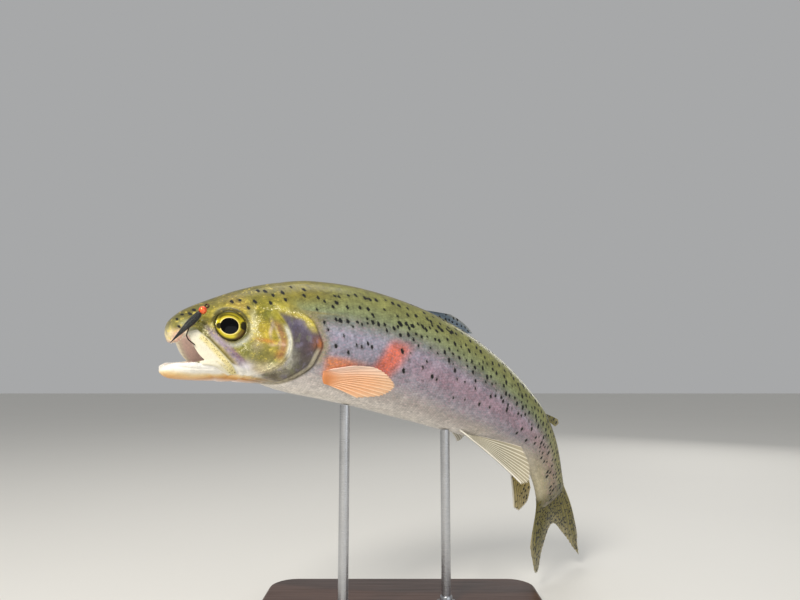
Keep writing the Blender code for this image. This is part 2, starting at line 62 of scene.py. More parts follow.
# ------------------------------------------------------------------ the fish's form, as in the solids
HEADING = ((0, 38), (35, 38), (60, 36), (100, 32), (150, 31), (200, 37), (250, 58), (320, 80))
DIP = ((0, 0), (35, 0.5), (60, 1.5), (100, 10.5), (150, 20.5), (200, 29), (250, 52), (320, 82))
ROLL = ((0, 0), (100, 3), (200, 17), (276, 29), (330, 29))
SNOUT = (-107.7, -86.7, 146.0)
SPINE_AHEAD, SPINE_END = 8, 331    # the spine's rows start this far ahead of the snout
TAIL_TIP = 281.5              # the skin thins out here over the roots of the tail fin's rays
BACK = ((TAIL_TIP, TAIL_TIP, 11.8), (276, 276, 13.2), (264, 264, 12.4), (240, 240, 13.5), (210, 210, 17.4),
        (180, 180, 22.7), (150, 150, 27.0), (120, 120, 29.3), (90, 90, 29.8), (66, 66, 28.8),
        (50, 50.5, 26.4), (40, 40.5, 24.1), (30, 30.5, 20.9), (22, 22, 17.5), (15, 14, 14.0), (10, 8, 11.1),
        (6, 3.4, 7.7), (3, 0.7, 4.2), (1.2, 0.1, 0.4), (0, 1.9, -3.6), (-1, 3.7, -3.9),
        (-3, 5.8, -1.8), (-10, 13, 0.5), (-25, 28, -3), (-40, 40, -8))
BELLY = ((TAIL_TIP, TAIL_TIP, -11.6), (276, 276, -13.0), (262, 262, -12.2), (235, 235, -13.8),
         (205, 205, -19.8), (180, 180, -24.6), (150, 150, -28.6), (120, 120, -30.0), (90, 90, -29.0),
         (66, 66, -26.6), (50, 51, -23.7), (40, 41, -21.4), (30, 30, -20.5), (22, 20.5, -20.2),
         (15, 12.5, -19.9), (10, 7, -19.6), (6, 2.6, -19.1), (3, -0.4, -17.6), (1.2, -1.6, -15.7),
         (0, -1.3, -14.1), (-1, 0.4, -13.8), (-3, 3, -15.2), (-10, 10, -16.8), (-25, 27, -14.5),
         (-40, 40, -8))
FLANK = ((TAIL_TIP, TAIL_TIP, 0.9, 0), (276, 276, 3.4, 0), (264, 264, 5.0, -0.1), (240, 240, 7.6, -0.5),
         (210, 210, 11.3, -0.9), (180, 180, 15.0, -1.1), (150, 150, 17.8, -1.3), (120, 120, 19.1, -1.5),
         (90, 90, 19.2, -1.8), (66, 66, 18.3, -2.1), (50, 52, 16.9, -3.3), (40, 43, 15.6, -4.8),
         (30, 34.5, 14.3, -7.0), (22, 27.5, 13.2, -8.8), (15, 21.5, 12.4, -10.0), (10, 17.8, 11.9, -10.7),
         (6, 15.6, 11.5, -11), (3, 14.3, 11.2, -11.1), (1.2, 13.7, 11.0, -11.1), (0, 13.4, 10.6, -11.1),
         (-1, 13.9, 9.9, -11.1), (-3, 15.5, 9.5, -11), (-10, 21, 9.2, -10.8), (-25, 32, 6.2, -9.5),
         (-40, 40, 0, -8))
ROUNDNESS = 0.95
LIP_RISES = ((52, 20, 6.0), (140, 24, 0.9))
LIP_REACH = 12.0

# ---- lines and outlines of the head, in the side view ----
EYE = (24.0, 4.0)
EYE_RADIUS, EYE_OUT, EYE_DOME, EYE_DEPTH = 6.5, 11.3, 1.3, 5.0
EYE_FORWARD, EYE_UP = 10.0, 16.0
LENS_RISE, EYE_SINK = 0.16, 0.38
LIP_BONE = ((5.0, -2.2), (5.8, 0.3), (10.4, 1.5), (14.5, -2.0), (25.6, -13.3), (28.6, -17.0), (25, -17.8),
            (17.5, -13.6), (12.6, -12.9))
COVER_EDGE = ((-36, 24), (-33, 30), (-31, 38), (-27.5, 48), (-20.2, 56), (-13.7, 62), (-8.7, 63.9),
              (-2.8, 65.8), (1.4, 64.4), (7.9, 61), (11.6, 55.5), (12.8, 50), (16, 47), (30, 45))
SCALE_EDGE = ((-36, 26), (-33, 32), (-31, 40), (-27.5, 49), (-20.2, 57), (-13.7, 62.6), (-8.7, 64.6),
              (-2.8, 66.4), (1.4, 65), (7.9, 62), (11.6, 57), (14, 54), (30, 51))
CHEEK_RIDGE = ((-34, 20), (-28, 24), (-24, 29), (-20, 35), (-16.5, 42), (-12, 47), (-6.4, 49.5),
               (-2.4, 49.9), (4.6, 47.8), (11, 43.5), (15, 41), (30, 40))
NOSTRILS = ((11.6, 5.4), (13.5, 4.5))

HEAD_DEPTH = 0.5              # the head's bare skin under the hull, so its raised lines stay inside
SKIN_COLUMNS = 280
COLUMN_SHIFT = 0.12           # draws the skin's columns together on the flanks, in radians


def ease(value, low, high):
    """0 below low and 1 above high, with a smooth cubic between them."""
    t = np.clip((np.asarray(value, float) - low) / (high - low), 0, 1)
    return t * t * (3 - 2 * t)


def hump(value, middle, spread):
    """Bell curve of height 1."""
    return np.exp(-(((value - middle) / spread) ** 2))


def steady_curve(stations, at):
    """Smooth curve through (position, value) pairs; it never overshoots a station."""
    table = np.array(sorted(stations), float)
    xs, ys = table[:, 0], table[:, 1]
    step = np.diff(xs)
    rise = np.diff(ys) / step
    slope = np.concatenate([rise[:1], np.zeros(len(rise) - 1), rise[-1:]])
    same = rise[:-1] * rise[1:] > 0
    weight = step[:-1] + step[1:]
    safe = np.where(same, rise[:-1] * step[1:] + rise[1:] * step[:-1], 1.0)
    slope[1:-1] = np.where(same, weight * rise[:-1] * rise[1:] / safe, 0.0)
    at = np.clip(np.asarray(at, float), xs[0], xs[-1])
    k = np.clip(np.searchsorted(xs, at, side="right") - 1, 0, len(step) - 1)
    t = (at - xs[k]) / step[k]
    return ((2 * t**3 - 3 * t**2 + 1) * ys[k] + (t**3 - 2 * t**2 + t) * step[k] * slope[k]
            + (3 * t**2 - 2 * t**3) * ys[k + 1] + (t**3 - t**2) * step[k] * slope[k + 1])


def column(table, which):
    """(section, value) pairs of one column of a profile table."""
    return [(row[0], row[which]) for row in table]


def spine_frames():
    """Places and directions along the spine, one row a millimetre: x, place, tailward, left, up."""
    x = np.arange(-SPINE_AHEAD, SPINE_END, dtype=float)
    heading, dip, roll = (np.radians(steady_curve(t, x)) for t in (HEADING, DIP, ROLL))
    tailward = np.stack([np.cos(dip) * np.cos(heading), np.cos(dip) * np.sin(heading), -np.sin(dip)], 1)
    level_up = np.stack([np.sin(dip) * np.cos(heading), np.sin(dip) * np.sin(heading), np.cos(dip)], 1)
    level_left = np.cross(level_up, -tailward)
    up = np.cos(roll)[:, None] * level_up + np.sin(roll)[:, None] * level_left
    left = np.cross(up, -tailward)
    place = np.concatenate([np.zeros((1, 3)), np.cumsum((tailward[1:] + tailward[:-1]) / 2, 0)])
    return x, place - place[SPINE_AHEAD] + np.array(SNOUT), tailward, left, up


SPINE = spine_frames()


def bend(points):
    """World place, in metres, of straight-fish points: the spine's place plus y left and z up there."""
    points = np.asarray(points, float)
    x, place, _, left, up = SPINE
    px, py, pz = points[..., 0], points[..., 1], points[..., 2]

    def along(rows):
        return np.stack([np.interp(px, x, rows[:, k]) for k in range(3)], -1)

    return MM * (along(place) + py[..., None] * along(left) + pz[..., None] * along(up))


def hull(section, angle):
    """Point of the hull: angle 0 is the back line, 90 degrees the left flank, 180 the belly line.

    Each quarter of a section is a squared-off ellipse between the back, flank and belly points.
    """
    section, angle = np.broadcast_arrays(np.asarray(section, float), np.asarray(angle, float))
    cosine, sine = np.cos(angle), np.sin(angle)
    upper = cosine >= 0
    edge_x = np.where(upper, steady_curve(column(BACK, 1), section), steady_curve(column(BELLY, 1), section))
    edge_z = np.where(upper, steady_curve(column(BACK, 2), section), steady_curve(column(BELLY, 2), section))
    side_x, side_y, side_z = (steady_curve(column(FLANK, k), section) for k in (1, 2, 3))
    round_cos = np.abs(cosine) ** ROUNDNESS
    round_sin = np.sign(sine) * np.abs(sine) ** ROUNDNESS
    degrees = np.degrees(np.arccos(np.clip(cosine, -1, 1)))
    reach = np.clip(1 - np.abs(section) / LIP_REACH, 0, 1)
    rise = sum(height * hump(degrees, middle, spread) for middle, spread, height in LIP_RISES)
    notch = rise * reach**2 * (3 - 2 * reach)
    return np.stack([side_x + (edge_x - side_x) * round_cos, side_y * round_sin,
                     side_z + (edge_z - side_z) * round_cos + notch], -1)


def hull_normal(section, angle):
    """Outward unit normal of the hull: the cross product of its steps along angle and section."""
    turn, step = 0.004, 0.08
    around = hull(section, angle + turn) - hull(section, angle - turn)
    along = hull(section + step, angle) - hull(section - step, angle)
    normal = np.cross(along, around)
    return normal / np.maximum(np.linalg.norm(normal, axis=-1, keepdims=True), 1e-9)


def behind(table, x, low):
    """Distance tailward of a line given as (height, x) stations, measured square to the line."""
    line_x, step = steady_curve(table, low), 0.2
    slope = (steady_curve(table, low + step) - steady_curve(table, low - step)) / (2 * step)
    return (x - line_x) / np.sqrt(1 + slope**2)


def inside(outline, x, z):
    """Signed distance to a closed outline, positive within it."""
    corners = np.array(outline, float)
    nearest = np.full(x.shape, 1e9)
    winding = np.zeros(x.shape, bool)
    for (ax, az), (bx, bz) in zip(corners, np.roll(corners, -1, 0)):
        ex, ez = bx - ax, bz - az
        t = np.clip(((x - ax) * ex + (z - az) * ez) / (ex * ex + ez * ez), 0, 1)
        nearest = np.minimum(nearest, np.hypot(x - ax - t * ex, z - az - t * ez))
        crosses = (az > z) != (bz > z)
        winding ^= crosses & (x < ax + (z - az) / np.where(ez == 0, 1.0, ez) * ex)
    return np.where(winding, nearest, -nearest)


class Site:
    """Measures of many hull places at once, from which relief, colour and sheen are worked out."""

    def __init__(self, section, angle):
        self.section, self.angle = np.broadcast_arrays(np.asarray(section, float), np.asarray(angle, float))
        self.point = hull(self.section, self.angle)
        self.x, self.y, self.z = np.moveaxis(self.point, -1, 0)
        half = steady_curve(column(FLANK, 2), self.section)
        under = np.where(np.cos(self.angle) < 0, 0.55 * (half - np.abs(self.y)), 0.0)
        self.low = self.z - under
        self.degrees = np.degrees(np.arccos(np.clip(np.cos(self.angle), -1, 1)))
        self.outer = ease(self.section, -0.4, 0.8)
        self.cover = behind(COVER_EDGE, self.x, self.low)
        self.ridge = behind(CHEEK_RIDGE, self.x, self.low)
        self.body = ease(behind(SCALE_EDGE, self.x, self.low), -0.2, 0.8) * ease(self.section, 20, 26)
        self.lip = inside(LIP_BONE, self.x, self.z)
        self.eye = np.hypot(self.x - EYE[0], self.z - EYE[1])

    def relief(self, coat_depth):
        """Height over the hull, in millimetres along its normal, always below zero outside."""
        low, outer = self.low, self.outer
        height = -(HEAD_DEPTH + (coat_depth - HEAD_DEPTH) * self.body)
        # gill cover: a raised plate that ends in a step, with a soft lower membrane along it
        slit = ease(-low, -13.2, -10.5) * ease(low, -35, -32)
        step = ease(self.cover, -0.25, 0.25)
        plate = ease(self.ridge, 0.2, 2.5) * ease(low, -26, -20)
        height += slit * (-0.85 * step * np.exp(-np.clip(self.cover, 0, None) / 2.0)
                          + (1 - step) * plate * 0.34)
        height -= slit * 0.26 * ease(self.cover, -3.3, -2.6) * (1 - step) * ease(-low, -2, 3)
        # cheek ridge: a low rounded rim with a drop behind it
        rim = ease(-low, -12, -8) * ease(low, -30, -22)
        height += rim * (0.24 * hump(self.ridge, -0.5, 0.8)
                         - 0.30 * ease(self.ridge, -0.1, 0.35) * np.exp(-np.clip(self.ridge, 0, None) / 1.6))
        # second, softer edge of the cheek plate ahead of it
        height -= rim * 0.12 * hump(self.ridge, -4.2, 0.6)
        # upper-lip bone: a raised strip with a crease round it and a soft fold above
        on_lip = outer * ease(self.x, 4, 7)
        height += on_lip * (0.40 * ease(self.lip, -0.1, 0.7) - 0.38 * hump(self.lip, -0.5, 0.38))
        fold = on_lip * ease(self.x - self.z * 0.2, 9, 13) * ease(-low, -6, 2)
        height += fold * (0.22 * hump(self.lip, -2.1, 0.9) - 0.25 * hump(self.lip, -3.7, 0.5))
        # eye: a deep socket inside a low rim of skin
        height += outer * (-4.0 * ease(6.55 - self.eye, 0, 0.75) + 0.46 * hump(self.eye, 7.15, 0.55)
                           - 0.16 * hump(self.eye, 8.6, 0.7))
        # nostrils
        for nx, nz in NOSTRILS:
            gap = np.hypot(self.x - nx, self.z - nz)
            height += outer * (-1.1 * ease(0.8 - gap, 0, 0.5) + 0.2 * hump(gap, 1.15, 0.35))
        # crease between the snout and the upper lip, and the roll of the lower lip
        snout_line = self.z - (0.4 + 0.24 * self.x)
        height -= outer * 0.18 * hump(snout_line, 0, 0.5) * ease(10 - self.x, 0, 3)
        jaw = outer * ease(-low, 11.8, 12.4) * ease(22 - self.x, 0, 6)
        height += jaw * (0.16 * hump(low, -13.6, 0.9) - 0.20 * hump(low, -15.4, 0.55))
        # rays under the gill membranes
        throat = ease(-low, 18, 22) * ease(self.x, 26, 32) * ease(-self.cover, 0.5, 2.5) * (1 - self.body)
        height += throat * 0.14 * np.cos(2 * math.pi * (low + 0.25 * self.x) / 2.3)
        # tongue on the mouth's floor and two ridges on its roof
        within = 1 - outer
        tongue = 1 - ((self.x - 16) / 9.5) ** 2 - (self.y / 4.2) ** 2
        height += within * (HEAD_DEPTH - 0.1 + 1.7 * ease(tongue, 0, 0.8) * ease(self.degrees, 115, 135)
                            + 0.35 * hump(np.abs(self.y), 3.0, 0.7) * ease(-self.section, 4, 8)
                            * ease(60 - self.degrees, 0, 15))
        return height


def surface(section, angle, coat_depth, lift=0.0):
    """Straight-fish point of the skin: the hull moved along its normal by the relief and a lift."""
    site = Site(section, angle)
    height = site.relief(coat_depth) + lift
    return site, site.point + hull_normal(site.section, site.angle) * height[..., None]


# ------------------------------------------------------------------ colours
def shade(red, green, blue):
    """Linear colour of a display colour given in 0 to 255."""
    value = np.array([red, green, blue], float) / 255
    return tuple(np.where(value <= 0.04045, value / 12.92, ((value + 0.055) / 1.055) ** 2.4))


def length(name, default, words):
    """A length property in millimetres."""
    return bpy.props.FloatProperty(name=name, description=words, default=default, min=0.0)


def colour(name, default, words):
    """A colour property; its default is given in display values."""
    return bpy.props.FloatVectorProperty(name=name, description=words, default=shade(*default),
                                         size=3, subtype="COLOR", min=0.0, max=1.0)


class TroutSizes(bpy.types.PropertyGroup):
    """Sizes of the coat and the trim, in millimetres."""
    coat_depth: length("Coat depth", 0.42, "Depth of the skin under the outer form where scales lie")
    scale_length: length("Scale spacing", 1.62, "Distance from one row of scales to the next")
    scale_columns: bpy.props.IntProperty(name="Scale columns", description="Scales round one row",
                                         default=124, min=40, max=200)
    scale_rise: length("Scale rise", 0.09, "Height of a scale's free edge over the skin")
    spot_size: length("Spot size", 0.94, "Mean half width of a black spot")
    tooth_height: length("Tooth height", 1.0, "Height of a tooth over the gum")
    ray_rise: length("Ray rise", 0.16, "Height of a fin's ray over its membrane")


class TroutColours(bpy.types.PropertyGroup):
    """Colours of the fish and its trim."""
    back: colour("Back", (112, 98, 44), "Along the back line")
    olive: colour("Olive", (124, 122, 54), "Upper side")
    green: colour("Green", (134, 142, 102), "Lower border of the green back")
    silver: colour("Silver", (160, 156, 170), "Silvery lilac side")
    belly: colour("Belly", (242, 234, 226), "Pale belly")
    band: colour("Band", (232, 112, 76), "Orange-red patches of the band")
    rose: colour("Rose", (186, 128, 140), "Rosy cast of the band")
    stalk: colour("Tail stalk", (162, 146, 56), "Yellow-olive rear")
    cheek: colour("Cheek", (154, 142, 40), "Golden olive cheek")
    cover: colour("Gill cover", (88, 80, 100), "Lilac-grey gill cover")
    lip: colour("Lip", (238, 231, 206), "Cream upper-lip bone")
    mouth: colour("Mouth", (250, 226, 214), "Pale pink wall of the mouth")
    spot: colour("Spot", (10, 10, 9), "Black spots")
    fin: colour("Fin", (104, 98, 50), "Olive upper fins")
    warm_fin: colour("Warm fin", (240, 176, 130), "Pale orange lower fins")
    iris: colour("Iris", (212, 194, 40), "Golden iris")
    bead: colour("Bead", (232, 74, 20), "Orange-red bead")
    wood: colour("Wood", (74, 44, 26), "Dark wood of the base")
    floor: colour("Floor", (226, 224, 218), "Pale floor")


def paints():
    """The colour properties as arrays by name."""
    group = bpy.context.scene.trout_colours
    return {name: np.array(getattr(group, name)[:]) for name in TroutColours.__annotations__}


# ------------------------------------------------------------------ markings
def linear(paint):
    """Linear colour of a paint: a tuple holds display values, anything else is linear already."""
    return shade(*paint) if isinstance(paint, tuple) else paint


def stations(at, *values):
    """Colour between (position, paint) stations, by linear steps."""
    places, tones = zip(*values)
    tones = np.array([linear(tone) for tone in tones])
    return np.stack([np.interp(at, places, tones[:, k]) for k in range(3)], -1)


def lay_over(base, *layers):
    """Layers of (paint, cover from 0 to 1) over a base, one after another."""
    for paint, cover in layers:
        base = base + (np.asarray(linear(paint)) - base) * np.clip(cover, 0, 1)[..., None]
    return base


def blob(site, x, z, spread, x_share=1.0, z_share=1.0):
    """Round cloud of a side-view place, or an oval one where the shares differ."""
    return hump(np.hypot((site.x - x) * x_share, (site.z - z) * z_share), 0, spread)


def body_tint(site, paint):
    """Colour of the trunk: stations from back to belly, the stalk, and the orange-red patches."""
    x, low, degrees = site.x, site.low, site.degrees
    turn = degrees + np.interp(x, [60, 110, 200, 276], [0, -2, -4, -6])
    body = stations(turn, (0, (104, 84, 40)), (8, paint["back"]), (20, paint["olive"]),
                    (44, (130, 132, 78)), (60, paint["green"]), (70, (136, 138, 128)),
                    (80, paint["silver"]), (96, (150, 144, 156)), (112, (168, 160, 168)),
                    (128, (206, 196, 190)), (150, paint["belly"]), (180, (234, 226, 212)))
    stalk = ease(x, 200, 262)
    # one patch slants across the band, one lies over the pectoral fin's root
    slant = x - (102.5 - 0.28 * (degrees - 99))
    patch = ease(slant, -8.5, -2) * ease(11 - slant, 0, 9)
    patch = patch * ease(degrees, 72, 84) * ease(126 - degrees, 0, 14)
    root = ease(x, 66, 71) * ease(100 - x, 0, 26) * ease(degrees, 98, 106) * ease(130 - degrees, 0, 10)
    return lay_over(
        body, ((124, 112, 34), 0.80 * ease(84 - x, 0, 24) * ease(62 - degrees, 0, 22)),
        (paint["rose"], 0.34 * hump(degrees, 93, 13) * ease(x, 100, 130)),
        (paint["stalk"], 0.50 * stalk * ease(150 - degrees, 0, 60)),
        ((190, 178, 128), 0.70 * stalk * ease(degrees, 90, 130)),
        (paint["fin"], 0.85 * ease(x, 266, 276)),
        # a narrow olive rim behind the gill opening
        ((146, 132, 72), 0.70 * hump(site.cover, 1.5, 2.6) * ease(low, -16, -9)),
        (paint["band"], 0.9 * patch),
        ((232, 136, 70), 0.85 * root))


# clouds of colour on the head: x, z, spread, cover and display colour; the pale one on the snout at (6.5,
# 2.6) is a painted glint, and the gold one at (45.5, -7.6) is the cheek's gold with a painted glint in it
HEAD_CLOUDS_AND_GLINTS = ((31, -6, 5.5, 0.50, (92, 106, 40)), (38, 2, 5.0, 0.50, (222, 188, 52)),
               (17, 5, 2.6, 0.60, (226, 208, 92)), (35, -5, 3.0, 0.55, (168, 148, 128)),
               (41, 9, 3.4, 0.50, (104, 112, 40)), (27.5, 12.5, 4.5, 0.45, (196, 160, 84)),
               (37, -9, 3.6, 0.70, (104, 102, 38)), (46.5, 10.5, 4.5, 0.55, (204, 186, 58)),
               (13, -1.5, 2.6, 0.55, (112, 104, 36)), (21, 9.5, 2.0, 0.75, (214, 208, 170)),
               (45.5, -7.6, 1.9, 0.90, (232, 178, 50)), (43, -11, 2.4, 0.55, (120, 132, 62)),
               (6.5, 2.6, 2.4, 0.60, (208, 208, 176)), (4.5, 4.6, 2.2, 0.45, (150, 150, 92)))


def head_tint(site, paint, body):
    """Colour of the head down to the cheek: stations, clouds, two of them painted glints, the snout and the
    rings round the eye, the dark ones painted shade.
    """
    x, z, low, eye = site.x, site.z, site.low, site.eye
    head = stations(site.degrees, (0, (94, 90, 54)), (12, (100, 92, 40)), (30, (112, 104, 32)),
                    (58, (128, 122, 34)), (84, paint["cheek"]), (104, (160, 146, 78)),
                    (122, (200, 180, 136)), (150, (230, 212, 194)), (180, (238, 220, 206)))
    head = lay_over(head, (body, 0.9 * ease(x, 34, 64) * ease(low, 8, 13)))
    for at_x, at_z, spread, cover, tone in HEAD_CLOUDS_AND_GLINTS:
        head = lay_over(head, (tone, cover * blob(site, at_x, at_z, spread)))
    snout = np.hypot(x - 3.5, z + 2.5)
    brow = ease(z - EYE[1], -1, 4)
    streak = z + 9.2 + 0.55 * (x - 27)
    return lay_over(
        head, ((222, 214, 168), 0.80 * hump(x, 33.4, 1.7) * hump(z, 4.5, 5.5)),
        ((234, 196, 172), 0.85 * ease(5.6 - snout, 0, 4)),
        ((232, 176, 160), 0.55 * blob(site, 6, -2.5, 2.6)),
        ((244, 232, 176), 0.70 * ease(2.4 - x, 0, 1.6) * hump(z, -2, 4)),
        # painted shade: a dark olive arc over the eye's upper rim
        ((52, 54, 18), 0.85 * hump(eye, 7.4, 0.75) * brow),
        ((176, 160, 60), 0.55 * hump(eye, 8.9, 0.7) * brow),
        ((206, 206, 190), 0.80 * hump(eye, 8.5, 1.1) * ease(EYE[1] - z, 2, 6)),
        # painted shade: a dark olive ring in the crease round the eye
        ((84, 76, 26), 0.85 * hump(eye, 6.9, 0.5)),
        ((110, 72, 36), 0.65 * hump(streak, 0, 0.9) * hump(x, 29, 4.5)))


def cover_tint(site, paint, head):
    """The head's colour with the cheek's ridge, the bar before it and the gill cover laid over it."""
    x, z, low, ridge, cover = site.x, site.z, site.low, site.ridge, site.cover
    bar = hump(ridge, -2.9, 1.9) * ease(-low, -9, -4) * ease(low, -12, -8)
    upright = x - 41.3 - 0.10 * (z - 3.6) + 0.35 * np.sin(0.9 * z)
    level = z + 0.3 * np.sin(0.8 * x)
    crown = ease(13 - low, 0, 4)
    plate = ease(ridge, 0.2, 1.8) * crown
    plates = stations(low, (-30, (202, 188, 166)), (-21, (122, 114, 92)), (-14, (82, 76, 62)),
                      (-4, (92, 80, 80)), (5, paint["cover"]), (10, (98, 88, 78)))
    streaked = np.cos(2 * math.pi * (x + 0.25 * z) / 3.1)
    return lay_over(
        head, ((156, 106, 74), 0.80 * bar),
        ((240, 214, 196), 0.60 * hump(upright, 0, 0.75) * hump(z, 3.2, 3.8)),
        ((228, 196, 176), 0.50 * hump(level, -3.4, 0.7) * ease(x, 39, 42) * ease(49 - x, 0, 2)),
        (plates, plate),
        ((124, 110, 118), 0.12 * plate * ease(streaked, 0.0, 0.9) * hump(z, 2, 8)),
        ((88, 78, 84), 0.16 * plate * ease(-streaked, 0.0, 0.9) * hump(z, -2, 9)),
        ((78, 62, 74), 0.60 * plate * blob(site, 58, -4, 5)),
        ((96, 100, 84), 0.60 * plate * blob(site, 52, -8, 3, z_share=0.7)),
        ((214, 210, 196), 0.55 * plate * blob(site, 50.5, -11, 4.5, x_share=1.6)),
        ((242, 240, 222), 0.98 * hump(ridge, 0.1, 0.95) * ease(-low, -7, -2) * ease(low, -11, -7)),
        ((214, 196, 160), 0.5 * hump(ridge, -4.6, 0.5) * ease(-low, -8, -3) * ease(low, -8, -2)),
        ((214, 194, 64), 0.85 * hump(cover, -1.8, 2.3) * ease(low, 1, 6) * crown),
        ((168, 96, 36), 0.85 * blob(site, 64.2, -2.2, 3.2)),
        ((176, 166, 142), 0.85 * hump(cover, -1.6, 1.3) * ease(-low, 3, 6)),
        # painted shadow: a dark line at the step where the gill plate drops to its membrane
        ((70, 62, 58), 0.55 * hump(cover, -3.1, 0.45) * ease(-low, -1, 3)),
        ((206, 120, 52), 0.60 * hump(z + 0.12 * (x - 39), -2.0, 1.0) * hump(x, 39.5, 5)),
        # painted highlight: a pale band of glare low on the cheek, under the glints there
        ((222, 212, 172), 0.65 * hump(z, -13.8, 1.7) * hump(x, 42, 6)))


def jaw_tint(site, paint, head):
    """The head's colour with the upper-lip bone, the lilac strip over it and the lower jaw."""
    x, z, low, lip = site.x, site.z, site.low, site.lip
    above = ease(x - 0.9 * (6 - z), -6, -1)
    strip = ease(-lip, 0.2, 0.8) * above * ease(x, 12, 16) * ease(z, -18.5, -16)
    rim = 11.8 + 0.42 * np.clip(x - 22, 0, 40)
    soft = 0.4 + 0.10 * np.clip(x - 20, 0, 20)
    jaw = ease((-low - rim) / soft, -1, 1) * ease(46 - x, 0, 14) * ease(0.3 - lip, 0, 0.6)
    keel = -17.8 - 0.146 * np.clip(x, 0, 40)
    level = z + (low - z) * ease(x, 8, 24)
    jaws = stations(level - keel, (-6, (236, 214, 204)), (-2.2, (214, 168, 128)), (-0.9, (204, 146, 82)),
                    (0.3, (234, 184, 116)), (1.5, (242, 214, 160)), (2.8, (248, 242, 228)),
                    (8, (250, 247, 240)))
    return lay_over(
        head, ((168, 148, 164), 0.92 * hump(lip, -2.9, 1.5) * strip),
        ((128, 92, 120), 0.75 * hump(lip, -4.2, 0.8) * strip * ease(x, 20, 27)),
        # painted shade: a dark line in the crease along the upper-lip bone's edge
        ((70, 52, 28), 0.80 * hump(lip, -0.55, 0.42) * strip),
        ((246, 240, 244), 0.95 * hump(np.hypot(x - 31, low + 15.2), 0, 3.4)),
        (paint["lip"], ease(lip, -0.5, 0.3) * ease(x, 4.5, 6.5)),
        ((234, 216, 140), 0.80 * lip_margin(site)),
        (jaws, jaw))


def mouth_tint(site, paint):
    """Colour inside the open mouth: pale pink walls, a white floor and a throat darkened with painted shade.
    """
    inward, degrees = -site.section, site.degrees
    return lay_over(
        paint["mouth"] + np.zeros((*inward.shape, 3)), ((244, 238, 232), ease(degrees, 112, 138)),
        ((240, 204, 192), 0.7 * ease(30 - degrees, 0, 20)),
        ((196, 190, 196), 0.55 * hump(inward, 13, 4)),
        # painted shade deep in the throat
        ((168, 122, 112), 0.60 * ease(inward, 26, 39)))


def tint(site, paint):
    """Colour of hull places: the head with its marks and the mouth, and the trunk over it."""
    body = body_tint(site, paint)
    head = jaw_tint(site, paint, cover_tint(site, paint, head_tint(site, paint, body)))
    return lay_over(head, (mouth_tint(site, paint), ease(-site.section, 0.6, 3.5)),
                    (body, site.body * site.outer))


def metal(site):
    """Share of metallic sheen: the silvery side, the cheek and the gill cover."""
    side = 0.42 * ease(site.degrees, 58, 76) * ease(150 - site.degrees, 0, 30)
    head = 0.26 * ease(site.ridge, 0, 2) + 0.34 * blob(site, 34, -1, 16)
    head *= ease(-site.lip, 0.2, 1.5) * ease(-site.low, -14, -8) * ease(site.low, -20, -14)
    return np.clip(np.where(site.body > 0.5, side, head), 0, 0.5) * site.outer


def painted_glint_places(site):
    """Where painted glints of highlight show: behind the eye, low on the cheek, on the gill cover's upper
    rim.
    """
    x, z = site.x, site.z
    return (1.2 * hump(x, 34.5, 2.4) * hump(z, 3, 7) + 1.3 * hump(x, 43, 5.5) * hump(z, -13.4, 2.0)
            + 1.1 * hump(site.cover, -2.4, 1.8) * ease(site.low, 4, 9) * ease(16 - site.low, 0, 5)
            + 0.9 * blob(site, 29, -5.5, 2.2) + 0.7 * blob(site, 14, 1, 3))


def gilding(site):
    """Where drifts of gold show: the snout, the cheek up to its ridge, and the gill cover's upper rim."""
    cheek = ease(-site.ridge, -0.5, 1.5) * ease(site.low, -15, -9)
    rim = hump(site.cover, -1.8, 2.3) * ease(site.low, 1, 6)
    return np.clip(cheek + rim, 0, 1) * ease(-site.lip, 0.5, 2) * (1 - site.body)


def veiling(site):
    """Where clouds of blue, brown and green show: the gill cover behind the cheek's ridge."""
    plate = ease(site.ridge, 0.6, 2.2) * ease(-site.cover, 1.0, 2.6)
    return plate * ease(11 - site.low, 0, 4) * ease(site.low, -26, -19) * (1 - site.body)


def calmness(site):
    """Where the colour is even: the lips, the mouth's lining and the white of the lower jaw."""
    jaw = ease(-site.low, 12, 15) * ease(46 - site.x, 0, 14)
    under = 0.7 * site.body * ease(site.degrees, 100, 128)
    return np.clip(ease(site.lip, -1.0, 0) + jaw + ease(-site.section, 0, 2) + under, 0, 1)


def lip_margin(site):
    """The dotted golden margin along the upper rear edge of the upper-lip bone."""
    along = ease(site.x - site.z * 0.6, 11, 13) * ease(site.z + 13.2 + 0.8 * (site.x - 16.5), 2.2, 4.2)
    return ease(3.1 - site.lip, 0, 1.4) * ease(site.lip, 0.1, 0.5) * along * site.outer


HEAD_SPOTS = ((3.2, 2.7), (3.4, 6.2), (8.2, 8.5), (5.4, 8.0), (10.2, 10.3), (25.5, 14.6), (29, 15.8),
              (31.7, 12.4), (35, 15.2), (37.8, 20.7), (40.8, 20.8), (43.5, 18.9), (41.8, 15), (48.3, 20.5),
              (49, 17), (53, 23.6))
SHOULDER_SPOTS = ((58.8, 22.9), (58, 19.8), (64.5, 19.3), (67.5, 18), (63, 13.8), (71.5, 16), (66.5, 8),
                  (68.4, 5), (76.8, 2.9), (73, -2.3), (84, -0.6), (87, -0.8), (90, 1.3), (92.5, -0.2),
                  (80, -4.8))
# rows of spots on the front half: from section and angle to section and angle, and how many
SPOT_ROWS = ((73, 70, 106, 66, 13), (72, 54, 97, 50, 5), (72, 44, 107, 32, 10), (106, 61, 141, 37, 17),
             (112, 45, 140, 31, 7), (112, 64, 150, 50, 9), (86, 60, 104, 56, 3))
SPOT_SEED, SPOT_DARTS = 41, 9000
DART_SECTIONS, DART_DEGREES = (106, 281), (2, 112)


